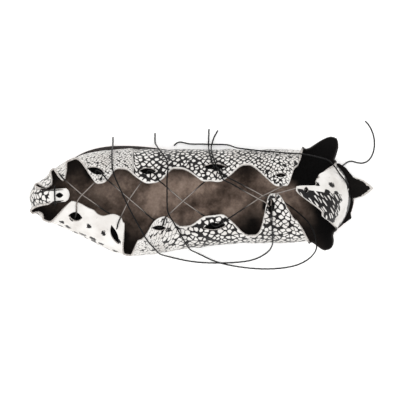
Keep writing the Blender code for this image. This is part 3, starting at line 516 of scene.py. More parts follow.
# The print, by place along the wall. scale: length of a scale; gap: width of the black net as a share of a
# scale; cover: how much of the net is inked; marks: odd black marks; foot: how much wider the net grows
# towards the wall's foot; taller: height of a scale beyond its length; slant: lean of its rows
PRINT_FIELDS = "side along scale gap cover marks foot taller slant"
Print = namedtuple("Print", PRINT_FIELDS, defaults=(0.0, 0.0))
PRINT = (
    (MEDIAL, 2.5, 4.6, 0.05, 0.20, 0.16, 0.80),
    (MEDIAL, 14.0, 4.8, 0.04, 0.12, 0.14, 0.60),
    (MEDIAL, 22.0, 5.0, 0.04, 0.10, 0.04, 0.00),
    (MEDIAL, 46.0, 3.4, 0.13, 0.52, 0.20, 0.06),
    (MEDIAL, 66.0, 3.0, 0.16, 0.68, 0.30, 0.10),
    (MEDIAL, 78.0, 3.3, 0.19, 0.90, 0.10, 0.14),
    (MEDIAL, 88.0, 3.5, 0.21, 1.00, 0.00, 0.22),
    (MEDIAL, 104.0, 3.8, 0.18, 0.85, 0.00, 0.14),
    (MEDIAL, 118.0, 4.0, 0.20, 1.00, 0.00, 0.22),
    (MEDIAL, 138.0, 4.0, 0.25, 1.00, 0.00, 0.22),
    (MEDIAL, 150.0, 4.2, 0.24, 1.00, 0.00, 0.14),
    (MEDIAL, 170.0, 4.4, 0.21, 1.00, 0.00, 0.12),
    (MEDIAL, 186.0, 4.4, 0.20, 1.00, 0.00, 0.14),
    (MEDIAL, 187.5, 2.4, 0.11, 0.66, 0.00, 0.00),
    (MEDIAL, 230.0, 2.4, 0.10, 0.58, 0.03, 0.00),
    (MEDIAL, 244.0, 4.6, 0.08, 0.50, 0.10, 0.00),
    (MEDIAL, 268.0, 4.8, 0.10, 0.65, 0.10, 0.00),
    (ENDS, TOE_REACH, 4.6, 0.15, 0.90, 0.10, 0.00),
    (LATERAL, 270.0, 4.6, 0.13, 0.80, 0.10, 0.00),
    (LATERAL, 262.0, 4.5, 0.04, 0.20, 0.40, 0.00),
    (LATERAL, 250.0, 4.5, 0.03, 0.12, 0.45, 0.00),
    (LATERAL, 238.0, 4.5, 0.03, 0.12, 0.12, 0.00),
    (LATERAL, 226.0, 4.5, 0.03, 0.12, 0.50, 0.00),
    (LATERAL, 207.0, 4.5, 0.03, 0.12, 0.50, 0.00),
    (LATERAL, 200.0, 4.0, 0.04, 0.16, 0.10, 0.00),
    (LATERAL, 190.0, 2.4, 0.09, 0.48, 0.06, 0.06),
    (LATERAL, 172.0, 2.8, 0.08, 0.50, 0.06, 0.06),
    (LATERAL, 160.0, 3.8, 0.08, 0.60, 0.06, 0.05),
    (LATERAL, 148.0, 5.0, 0.10, 0.90, 0.00, 0.06),
    (LATERAL, 130.0, 4.8, 0.20, 1.00, 0.00, 0.22),
    (LATERAL, 116.0, 4.8, 0.20, 1.00, 0.00, 0.24),
    (LATERAL, 96.0, 4.8, 0.16, 1.00, 0.00, 0.10),
    (LATERAL, 60.0, 4.6, 0.16, 1.00, 0.00, 0.02),
    (LATERAL, 40.0, 4.6, 0.12, 0.90, 0.00, 0.00),
    (LATERAL, 30.0, 3.4, 0.08, 0.40, 0.00, 0.00, 4.6, -0.6),
    (LATERAL, 20.0, 3.2, 0.28, 0.80, 0.06, 0.00, 5.8, -0.8),
    (LATERAL, 12.0, 3.1, 0.32, 1.00, 0.06, 0.40, 5.9, -0.8),
    (LATERAL, 2.6, 3.0, 0.34, 1.00, 0.04, 0.80, 6.0, -0.8),
)
FOOT_INK_TOP = 24.0
FOOT_INK_BASE = 9.0
FOOT_INK_COVER = 2.0
# Painted shade on the suede: beside the heel's wall, in a patch behind the outer instep, and under each slot
HEEL_SHADE_LINE = 42.5
HEEL_SHADE_LATERAL = -0.3
HEEL_SHADE_MEDIAL = -1.0
HEEL_SHADE_START = 0.4
HEEL_SHADE_FADE = 12.0
NOTCH_SHADE = (86.5, 20.0)
NOTCH_SHADE_SIZE = 11.0
SLOT_SHADE_MARGIN = 3.5
SLOT_SHADE_FADE = 3.0
MARKS_TOP = 47.0
MARKS_FADE = 6.0
STRIPES_BASE = 28.0
STRIPES_FADE = 12.0
STRAP_REACH = 11.0
PADDLE_BASE = 45.0
PADDLE_FADE = 3.0
STRAP_TIP_RADIUS = 6.8
STRAP_TIP_BASE = 28.0
HEEL_REACH = 30.0


def smooth(share):
    """An even step from 0 to 1 with level ends."""
    share = min(1.0, max(0.0, share))
    return share * share * (3 - 2 * share)


def arc(angle_deg, bend_deg, length):
    """Outward and upward reach of a strip that starts at an angle from level and bends evenly."""
    half = math.radians(bend_deg * length) / 2
    chord = length * (math.sin(half) / half if abs(half) > STRAIGHT else 1.0)
    direction = math.radians(angle_deg) + half
    return chord * math.cos(direction), chord * math.sin(direction)


class Hide:
    """The folded hide: a wall that follows the table of sections round the foot."""

    def __init__(self):
        self.outline = Outline(WALL_OUTLINE)
        sections = [Section(*row) for row in WALL_SECTIONS]
        self.rows = [(self.centre(row), row) for row in sections]
        turns = [self.outline.inward(at) + self.swing(row) for at, row in self.rows]
        self.turns = np.unwrap(turns + [turns[0] + 2 * math.pi])

    def centre(self, row):
        """Distance along the wall's foot of the middle of a row of a table."""
        if row.side == ENDS:
            return 0.0 if row.along < SOLE_LENGTH / 2 else self.outline.toe
        return self.outline.distance_at(row.along, row.side)

    @staticmethod
    def swing(row):
        """Turn of a tab towards the toe, as an angle in plan."""
        return math.radians(row.swing) * (1 if row.side == LATERAL else -1)

    def section(self, distance):
        """Wall length, foot angle, bend per millimetre and lean direction at a distance along the foot."""
        at = distance % self.outline.length
        index = max(i for i, (start, _) in enumerate(self.rows) if start <= at)
        start, row = self.rows[index]
        if index + 1 < len(self.rows):
            end, following = self.rows[index + 1]
        else:
            end, following = self.outline.length, self.rows[0][1]
        share = smooth((at - start - row.flat) / (end - following.flat - start - row.flat))
        late = share**FLARE_POWER if following.wall < row.wall else 1 - (1 - share) ** FLARE_POWER
        foot = row.foot + (following.foot - row.foot) * late
        lean = row.lean + (following.lean - row.lean) * late
        turn = self.turns[index] + (self.turns[index + 1] - self.turns[index]) * (share + late) / 2
        wall = BEND_LENGTH + row.wall + (following.wall - row.wall) * share
        return wall, foot, (lean - foot) / LEAN_GAUGE, turn

    def side_columns(self, count):
        """Distances of count steps on each side, heel to toe, closer together where the edge is steep."""
        grid = np.linspace(0.0, self.outline.length, EDGE_SAMPLES)
        walls = np.array([self.section(min(at, self.outline.length - LOOP_NUDGE))[0] for at in grid])
        pace = np.sqrt(1 + (EDGE_PACE * np.gradient(walls, grid)) ** 2)
        travel = np.concatenate([[0.0], np.cumsum((pace[1:] + pace[:-1]) / 2 * np.diff(grid))])
        toe = np.interp(self.outline.toe, grid, travel)
        medial = np.interp(np.linspace(0.0, toe, count + 1), travel, grid)
        lateral = np.interp(np.linspace(travel[-1], toe, count + 1), travel, grid)
        return medial, lateral

    def point(self, distance, height):
        """Point of the hide's outer face, at a height measured up the hide from its floor."""
        _, foot, bend, turn = self.section(distance)
        foot_bend = (foot - BEND_START_DEG) / BEND_LENGTH
        out, up = arc(BEND_START_DEG, foot_bend, min(height, BEND_LENGTH))
        if height > BEND_LENGTH:
            wall_out, wall_up = arc(foot, bend, height - BEND_LENGTH)
            out, up = out + wall_out, up + wall_up
        x, y = self.outline.point(distance)
        inward = BEND_INSET - out
        x, y = x + inward * math.cos(turn), y + inward * math.sin(turn)
        return place(x, y, SOLE_THICKNESS + SEAT_GAP + toe_rise(x) + up)

    def frame(self, distance, height, step=0.5):
        """Outward normal, direction along the edge and direction up the wall, at a point of the hide."""
        edge = self.point(distance + step, height) - self.point(distance - step, height)
        climb = self.point(distance, height + step) - self.point(distance, height - step)
        normal = edge.cross(climb).normalized()
        edge.normalize()
        return normal, edge, normal.cross(edge)

    def tab(self, name):
        """The place of a tab's middle along the foot, and its row."""
        return next((at, row) for at, row in self.rows if row.name == name)

    def edge(self, name, shift):
        """The place of a point of a tab's edge: distance along the foot, and hide above the floor."""
        at, row = self.tab(name)
        distance = at - shift if row.side == LATERAL else at + shift
        return distance, self.section(distance)[0]

    def slot(self, name):
        """The place of a tab's slot: distance along the foot, and hide above the floor."""
        slot = next(slot for slot in SLOTS if slot.tab == name)
        at, row = self.tab(name)
        shift = -slot.shift if row.side == LATERAL else slot.shift
        return at + shift, BEND_LENGTH + row.wall - slot.inset


hide = Hide()
print_rows = [Print(*row) for row in PRINT]
loop_length = hide.outline.length
print_starts = np.array([hide.centre(row) for row in print_rows[:-1]] + [loop_length])
print_starts[0] = 0.0
print_grid = np.linspace(0.0, loop_length, EDGE_SAMPLES)


def print_value(name, distance):
    """A value of the print's table at a distance along the foot."""
    return np.interp(distance, print_starts, [getattr(row, name) for row in print_rows])


print_counts = np.diff(print_grid) / print_value("scale", print_grid[1:])
print_travel = np.concatenate([[0.0], np.cumsum(print_counts)])
# Where painted shade blackens the suede under each slot
slot_shades = []
for slot in SLOTS:
    spot = hide.point(*hide.slot(slot.tab)) / MM
    slot_shades.append((spot.x + SOLE_LENGTH / 2, spot.y, slot.half_long + SLOT_SHADE_MARGIN))
crease_lines = []
for side, along, height, end_along, end_height, depth, width in CREASES:
    start = np.array([hide.outline.distance_at(along, side), height])
    end = np.array([hide.outline.distance_at(end_along, side), end_height])
    crease_lines.append((start, end - start, depth, width))


def crease_depth(distance, height):
    """How far the creases push a point of the wall in."""
    total = 0.0
    for start, run, depth, width in crease_lines:
        offset = np.array([distance, height]) - start
        share = offset.dot(run) / run.dot(run)
        away = abs(offset[0] * run[1] - offset[1] * run[0]) / math.sqrt(run.dot(run))
        if -CREASE_OVERRUN < share < 1 + CREASE_OVERRUN and away < CREASE_REACH * width:
            entry = smooth((share + CREASE_OVERRUN) / CREASE_EASE)
            leaving = smooth((1 + CREASE_OVERRUN - share) / CREASE_EASE)
            total += depth * entry * leaving * math.exp(-((away / width) ** 2))
    return total


def suede_shade(along, across):
    """Painted shade on the suede: beside the heel's wall, behind the outer instep and under the slots."""
    under = min(math.hypot(along - x, across - y) / reach for x, y, reach in slot_shades)
    edge = HEEL_SHADE_LINE + across * (HEEL_SHADE_LATERAL if across > 0 else HEEL_SHADE_MEDIAL)
    notch = math.hypot(along - NOTCH_SHADE[0], across - NOTCH_SHADE[1]) / NOTCH_SHADE_SIZE
    beside_heel = smooth((edge - along) / HEEL_SHADE_FADE + HEEL_SHADE_START)
    return max(beside_heel, math.exp(-(notch**2)), smooth((1 - under) * SLOT_SHADE_FADE))


def hide_values(distance, height):
    """The four pairs of values that the hide's finishes read at a corner of its mesh."""
    wall = hide.section(min(distance, loop_length - LOOP_NUDGE))[0]
    travel = np.interp(distance, print_grid, print_travel)
    scale = print_value("scale", distance)
    slant = print_value("slant", distance) * height / scale
    low = smooth((FOOT_INK_TOP - height) / (FOOT_INK_TOP - FOOT_INK_BASE))
    foot_ink = low * print_value("foot", distance)
    gap, cover, marks = (print_value(name, distance) for name in ("gap", "cover", "marks"))
    if distance > hide.outline.toe:
        marks *= smooth((MARKS_TOP - height) / MARKS_FADE)
    if abs(distance - hide.outline.toe) < STRAP_REACH:
        paddle = smooth((height - PADDLE_BASE) / PADDLE_FADE)
        gap -= paddle
        marks *= 1 - paddle
    if distance > loop_length - HEEL_REACH:
        cover *= smooth((height - STRIPES_BASE) / STRIPES_FADE)
    spot = hide.point(distance, height) / MM
    return (
        (travel + slant, height / (scale + print_value("taller", distance))),
        (gap + foot_ink, min(1.0, cover + FOOT_INK_COVER * foot_ink)),
        (marks, wall - height),
        (min(1.0, height / wall), suede_shade(spot.x + SOLE_LENGTH / 2, spot.y)),
    )


hide_shape = bmesh.new()
value_layers = [hide_shape.loops.layers.uv.new(name) for name in ("place", "net", "marks", "shade")]
shade_layer = value_layers[-1]
medial_steps, lateral_steps = hide.side_columns(HIDE_COLUMNS)
hide_columns = []
for distance in (*medial_steps, *lateral_steps[-2:0:-1]):
    wall = hide.section(distance)[0]
    beat = math.sin(distance / EDGE_WAVE_BEAT)
    wall += EDGE_WAVE * math.sin(2 * math.pi * distance / EDGE_WAVE_LENGTH) * beat
    off_middle = abs(distance - hide.outline.toe)
    if off_middle < STRAP_REACH:
        left = math.sqrt(STRAP_TIP_RADIUS**2 - min(off_middle, STRAP_TIP_RADIUS) ** 2)
        wall -= (STRAP_TIP_RADIUS - left) * smooth((wall - STRAP_TIP_BASE) / STRAP_TIP_BASE)
    heights = list(np.linspace(0.0, BEND_LENGTH, BEND_ROWS + 1))
    heights += list(np.linspace(BEND_LENGTH, wall, WALL_ROWS + 1))[1:]
    column = []
    for height in heights:
        point = hide.point(distance, height)
        depth = crease_depth(distance, height)
        if abs(depth) > CREASE_LEAST:
            point -= hide.frame(distance, height)[0] * depth * MM
        column.append((hide_shape.verts.new(point), height))
    hide_columns.append((distance, column))
closing = (loop_length, hide_columns[0][1])
corner_values = {}
for (here_at, here), (next_at, following) in zip(hide_columns, [*hide_columns[1:], closing]):
    for low in range(len(here) - 1):
        corners = (
            (here_at, *here[low]),
            (next_at, *following[low]),
            (next_at, *following[low + 1]),
            (here_at, *here[low + 1]),
        )
        face = hide_shape.faces.new([vert for _, vert, _ in corners])
        for loop, (distance, _, height) in zip(face.loops, corners):
            key = (round(distance, 4), round(height, 4))
            if key not in corner_values:
                corner_values[key] = hide_values(distance, height)
            for layer, value in zip(value_layers, corner_values[key]):
                loop[layer].uv = value
feet = [column[0][0] for _, column in hide_columns]
medial_feet, lateral_feet = ring_sides(feet, HIDE_COLUMNS)
floor_faces = fill_strips(hide_shape, medial_feet, lateral_feet, FLOOR_STRIPS)
medial_line = np.array([vert.co[:2] for vert in medial_feet])
lateral_line = np.array([vert.co[:2] for vert in lateral_feet])
# Painted shade on the suede floor: darker towards its edges under the tabs, near black by suede_shade
for face in floor_faces:
    for loop in face.loops:
        along, across = loop.vert.co[:2]
        low, high = (np.interp(along, line[:, 0], line[:, 1]) for line in (medial_line, lateral_line))
        middle = 1 - abs(2 * across - low - high) / max(high - low, MM)
        shaded = suede_shade(along / MM + SOLE_LENGTH / 2, across / MM)
        loop[shade_layer].uv = (-max(0.0, middle), shaded)
upper_sheet = finished("upper_sheet", hide_shape, sharp_deg=80.0)

# Printed hide: white scales on a black net that breaks up and fades from panel to panel, lightly embossed.
# Its UV map "place" counts scales, so the net's sizes are shares of a scale. The white has tints of 14 mm and
# pores of 0.8 mm, drawn coarse enough to show
printed_hide, add, shader, spot = new_finish("snake_print_hide")
place_uv = add("UVMap", uv_map="place")
net_uv = add("UVMap", uv_map="net")
marks_uv = add("UVMap", uv_map="marks")
net_parts = add("SeparateXYZ", {"Vector": net_uv}).outputs
marks_parts = add("SeparateXYZ", {"Vector": marks_uv}).outputs
wobble = add("TexNoise", {"Vector": place_uv, "Scale": 0.9, "Detail": 2.0})
wobble_shift = add("VectorMath", {0: wobble.outputs["Color"], 1: (0.5, 0.5, 0.5)}, operation="SUBTRACT")
wobble_part = add("VectorMath", {0: wobble_shift, "Scale": 0.7}, operation="SCALE")
warped = add("VectorMath", {0: place_uv, 1: wobble_part}, operation="ADD")
turned = add("Mapping", {"Vector": warped, "Rotation": (0.0, 0.0, math.radians(45.0))})
scale_edge, scale_middle = (
    add(
        "TexVoronoi",
        {"Vector": turned, "Scale": 1.0, "Randomness": 0.72},
        voronoi_dimensions="2D",
        feature=feature,
    )
    for feature in ("DISTANCE_TO_EDGE", "F1")
)
ragged = add("TexNoise", {"Vector": place_uv, "Scale": 3.4, "Detail": 3.0})
ragged_part = add(
    "MapRange", {"Value": ragged, "From Min": 0.2, "From Max": 0.8, "To Min": -0.08, "To Max": 0.08}
)
net_width = add("Math", {0: net_parts["X"], 1: ragged_part}, operation="ADD")
line_width = add("Math", {0: net_width, 1: 0.7}, operation="MULTIPLY")
line_ink = add("Math", {0: line_width, 1: scale_edge}, operation="SUBTRACT")
corner_reach = add("Math", {0: scale_middle, 1: net_width}, operation="ADD")
corner_ink = add("Math", {0: corner_reach, 1: 0.62}, operation="SUBTRACT")
net_depth = add("Math", {0: line_ink, 1: corner_ink}, operation="MAXIMUM")
patches = add("TexNoise", {"Vector": place_uv, "Scale": 0.75, "Detail": 4.0, "Roughness": 0.7})
patch_level = add("MapRange", {"Value": net_parts["Y"], "To Min": 0.72, "To Max": 0.22})
patch_depth = add("Math", {0: patches, 1: patch_level}, operation="SUBTRACT")
odd = add("TexVoronoi", {"Vector": warped, "Scale": 0.6, "Randomness": 1.0}, voronoi_dimensions="2D")
odd_pick = add("SeparateColor", {"Color": odd.outputs["Color"]}).outputs["Red"]
odd_chosen = add("Math", {0: odd_pick, 1: marks_parts["X"]}, operation="LESS_THAN")
odd_ragged = add("Math", {0: ragged_part, 1: 2.6, 2: odd}, operation="MULTIPLY_ADD")
zones = {}
for name, value, start, full in (
    ("net", net_depth, -0.04, 0.04),
    ("patches", patch_depth, -0.03, 0.05),
    ("inside_edge", marks_parts["Y"], 0.4, 1.8),
    ("odd_marks", odd_ragged, 0.4, 0.34),
    ("emboss", scale_edge, 0.0, 0.25),
):
    limits = {"Value": value, "From Min": start, "From Max": full}
    zones[name] = add("MapRange", limits, interpolation_type="SMOOTHSTEP")
patched = add("Math", {0: zones["net"], 1: zones["patches"]}, operation="MULTIPLY")
net = add("Math", {0: patched, 1: zones["inside_edge"]}, operation="MULTIPLY")
odd_ink = add("Math", {0: odd_chosen, 1: zones["odd_marks"]}, operation="MULTIPLY")
ink = add("Math", {0: net, 1: odd_ink}, operation="MAXIMUM")
tint = add("TexNoise", {"Vector": spot, "Scale": 70.0, "Detail": 4.0})
white = add("ValToRGB", {"Fac": tint}, ((0.3, "#c9c4bf"), (0.55, "#dbd8d4"), (0.75, "#e4e1de")))
printed = add("Mix", {"Factor": ink, "A": white, "B": linear("#100e0e")}, data_type="RGBA")
pores = add("TexNoise", {"Vector": spot, "Scale": 1300.0, "Detail": 3.0})
relief = add("Math", {0: pores, 1: 0.35, 2: zones["emboss"]}, operation="MULTIPLY_ADD")
bump = add("Bump", {"Height": relief, "Strength": 0.3, "Distance": 0.0003})
gloss = add("MapRange", {"Value": ink, "To Min": 0.5, "To Max": 0.36})
set_inputs(shader, {"Base Color": printed, "Roughness": gloss, "Normal": bump, "Specular IOR Level": 0.2})

# Suede side of the hide: dark brown, rubbed lighter in patches of 26 mm where the foot stands, with a nap
# of 2.4 mm, drawn coarse enough to show. Painted shade darkens it up the walls and towards the floor's
# edges under the tabs, and makes it nearly black in the folded lobes beside the heel, behind the outer
# instep and under the slots
suede, add, shader, spot = new_finish("brown_suede")
shade_uv = add("UVMap", uv_map="shade")
shade = add("SeparateXYZ", {"Vector": shade_uv}).outputs
rubbed = add("TexNoise", {"Vector": spot, "Scale": 38.0, "Detail": 7.0, "Roughness": 0.64})
floor_tone = add("ValToRGB", {"Fac": rubbed}, ((0.36, "#44372f"), (0.5, "#816e62"), (0.63, "#b39c8d")))
parts = add("SeparateXYZ", {"Vector": spot}).outputs
# Tone along the shoe: lightest at the waist, darker towards the heel and the toe
tread = add("MapRange", {"Value": parts["X"], "From Min": -0.13, "From Max": 0.15})
along_tone = add(
    "ValToRGB",
    {"Fac": tread},
    (
        (0.1, "#c8c8c8"), (0.25, "#dcdcdc"), (0.42, "#ffffff"), (0.55, "#f4f4f4"), (0.7, "#d6d6d6"),
        (0.84, "#a2a2a2"), (1.0, "#707070"),
    ),
)
trodden = add(
    "Mix", {"Factor": 1.0, "A": floor_tone, "B": along_tone}, data_type="RGBA", blend_type="MULTIPLY"
)
# Painted shade: the walls, and the floor towards its edges under the tabs, are darkened towards this tone
wall_shade_tone = add("ValToRGB", {"Fac": rubbed}, ((0.32, "#15110f"), (0.7, "#2b2421")))
wall_shade = add(
    "MapRange", {"Value": shade["X"], "From Min": -0.7, "From Max": -0.1}, interpolation_type="SMOOTHSTEP"
)
toned = add("Mix", {"Factor": wall_shade, "A": trodden, "B": wall_shade_tone}, data_type="RGBA")
# Painted shade, near black: beside the heel's wall, behind the outer instep and under the slots
darkened = add("Mix", {"Factor": shade["Y"], "A": toned, "B": linear("#030202")}, data_type="RGBA")
nap = add("TexNoise", {"Vector": spot, "Scale": 420.0, "Detail": 4.0, "Roughness": 0.6})
brushed = add("MapRange", {"Value": nap, "From Min": 0.3, "From Max": 0.7, "To Min": 0.78, "To Max": 1.15})
napped = add("VectorMath", {0: darkened, "Scale": brushed}, operation="SCALE")
bump = add("Bump", {"Height": nap, "Strength": 0.5, "Distance": 0.0006})
set_inputs(shader, {"Base Color": napped, "Roughness": 0.92, "Normal": bump, "Specular IOR Level": 0.2})
set_inputs(shader, {"Sheen Weight": 0.05, "Sheen Tint": linear("#8a7568")})

# Cut edge of the hide: pale fibres of 1.4 mm at the tabs, painted dark with shade round the folded lobes,
# which lie low behind the quarters
cut_edge, add, shader, spot = new_finish("cut_hide_edge")
fibres = add("TexNoise", {"Vector": spot, "Scale": 700.0, "Detail": 4.0})
fibre_tone = add("ValToRGB", {"Fac": fibres}, ((0.3, "#857c76"), (0.7, "#dad5d0")))
parts = add("SeparateXYZ", {"Vector": spot}).outputs
# Painted shade: the cut edge turns dark low behind the quarters, round the folded lobes
behind = add("MapRange", {"Value": parts["X"], "From Min": -0.078, "From Max": -0.083})
lobe_edge_shade = add("MapRange", {"Value": parts["Z"], "From Min": 0.03, "From Max": 0.022, "To Max": behind})
shade_darkened_edge = add("Mix", {"Factor": lobe_edge_shade, "A": fibre_tone, "B": linear("#191413")}, data_type="RGBA")
bump = add("Bump", {"Height": fibres, "Strength": 0.5, "Distance": 0.0003})
set_inputs(shader, {"Base Color": shade_darkened_edge, "Roughness": 0.85, "Normal": bump})

for finish in (printed_hide, suede, cut_edge):
    upper_sheet.data.materials.append(finish)
thicken = upper_sheet.modifiers.new("thickness", "SOLIDIFY")
thicken.thickness = HIDE_THICKNESS * MM
thicken.offset = -1.0
thicken.use_quality_normals = True
thicken.material_offset = 1
thicken.material_offset_rim = 2

slot_shape = bmesh.new()
for slot in SLOTS:
    distance, height = hide.slot(slot.tab)
    normal, edge, climb = hide.frame(distance, height)
    turn = Matrix.Rotation(math.radians(slot.turn), 3, normal)
    edge, climb = turn @ edge, turn @ climb
    centre = hide.point(distance, height) - normal * HIDE_THICKNESS / 2 * MM
    rim = []
    for sign in (-1, 1):
        for share in np.linspace(-1, 1, SLOT_SIDE_POINTS, endpoint=False):
            wide = slot.half_wide * (1 - share**2)
            rim.append(centre + (edge * share * -sign * slot.half_long + climb * sign * wide) * MM)
    low = [slot_shape.verts.new(point - normal * SLOT_CUT_DEPTH * MM) for point in rim]
    high = [slot_shape.verts.new(point + normal * SLOT_CUT_DEPTH * MM) for point in rim]
    slot_shape.faces.new(low)
    slot_shape.faces.new(high)
    for i in range(len(rim)):
        after = (i + 1) % len(rim)
        slot_shape.faces.new((low[i], low[after], high[after], high[i]))
bmesh.ops.recalc_face_normals(slot_shape, faces=slot_shape.faces)
slot_cutter = finished("slot_cutter", slot_shape)
slot_cutter.data.materials.append(cut_edge)
cut = upper_sheet.modifiers.new("slots", "BOOLEAN")
cut.operation = "DIFFERENCE"
cut.solver = "EXACT"
cut.object = slot_cutter
cut.material_mode = "TRANSFER"
hide_upper = plain_piece("hide_upper", upper_sheet)
bpy.data.objects.remove(slot_cutter)
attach(hide_upper, "root")
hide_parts("upper")

# Heel flap. A thin strip of the same hide, suede side up, that stands out behind the heel between wall and
# sole and runs out in a pointed pull tab.
HEEL_FLAP_BASE = 2.0
HEEL_TAB_TIP = -17.0
HEEL_TAB_LIFT = 5.2
FLAP_ROWS_EACH = 5
FLAP_COLUMNS = 16
PULL_START = 0.05
PLAIN_MARGIN = 9.0
# The flap across the heel: across, then along at its inner and at its outer edge
HEEL_FLAP = (
    (-28.0, 16.6, 12.0), (-24.0, 12.0, 6.4), (-20.0, 8.9, 3.4), (-16.2, 6.7, 0.2), (-13.2, 5.4, -8.0),
    (-9.7, 4.4, -13.0), (-6.0, 3.6, -17.0), (-2.6, 3.2, -13.0), (0.6, 3.1, -8.0), (2.8, 3.2, 0.6),
    (8.0, 4.0, 1.4), (14.5, 6.1, 3.2), (19.0, 8.6, 2.6), (23.0, 11.6, 8.4),
)

flap_table = np.array(HEEL_FLAP)
flap_places = []
for here, following in zip(flap_table[:-1, 0], flap_table[1:, 0]):
    flap_places += list(np.linspace(here, following, FLAP_ROWS_EACH, endpoint=False))
flap_places.append(flap_table[-1, 0])
flap_shape = bmesh.new()
flap_margin = flap_shape.verts.layers.float.new("margin")
flap_grid = []
for across in flap_places:
    inner, outer = (np.interp(across, flap_table[:, 0], flap_table[:, column]) for column in (1, 2))
    line = []
    for along in np.linspace(inner, outer, FLAP_COLUMNS + 1):
        share = max(0.0, HEEL_FLAP_BASE - along) / (HEEL_FLAP_BASE - HEEL_TAB_TIP)
        up = SOLE_THICKNESS + SEAT_GAP + HEEL_TAB_LIFT * share**2
        vert = flap_shape.verts.new(place(along, across, up))
        vert[flap_margin] = along - outer if share > PULL_START else PLAIN_MARGIN
        line.append(vert)
    flap_grid.append(line)
for here, following in zip(flap_grid, flap_grid[1:]):
    for k in range(FLAP_COLUMNS):
        flap_shape.faces.new((here[k], here[k + 1], following[k + 1], following[k]))
bmesh.ops.recalc_face_normals(flap_shape, faces=flap_shape.faces)
flap_shape.faces.ensure_lookup_table()
if flap_shape.faces[0].normal.z > 0:
    bmesh.ops.reverse_faces(flap_shape, faces=flap_shape.faces)
heel_flap = finished("heel_flap", flap_shape)
thicken = heel_flap.modifiers.new("thickness", "SOLIDIFY")
thicken.thickness = HIDE_THICKNESS * MM
thicken.offset = -1.0

# Suede of the flap: nearly black with a nap of 2.4 mm. The white printed face shows along the
# tab's edges, in specks of 2 mm
flap_suede, add, shader, spot = new_finish("black_suede_flap")
nap = add("TexNoise", {"Vector": spot, "Scale": 420.0, "Detail": 4.0, "Roughness": 0.6})
dark = add("ValToRGB", {"Fac": nap}, ((0.3, "#090807"), (0.7, "#15110f")))
margin = add("Attribute", attribute_name="margin").outputs["Fac"]
specks = add("TexNoise", {"Vector": spot, "Scale": 520.0, "Detail": 2.0})
speckled = add("Math", {0: specks, 1: -4.5, 2: margin}, operation="MULTIPLY_ADD")
showing = add(
    "MapRange", {"Value": speckled, "From Min": 0.1, "From Max": -0.5}, interpolation_type="SMOOTHSTEP"
)
margined = add("Mix", {"Factor": showing, "A": dark, "B": linear("#cbc6c1")}, data_type="RGBA")
bump = add("Bump", {"Height": nap, "Strength": 0.5, "Distance": 0.0006})
set_inputs(shader, {"Base Color": margined, "Roughness": 0.9, "Normal": bump, "Specular IOR Level": 0.15})
heel_flap.data.materials.append(flap_suede)
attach(heel_flap, "root")
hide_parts("heel_tab")

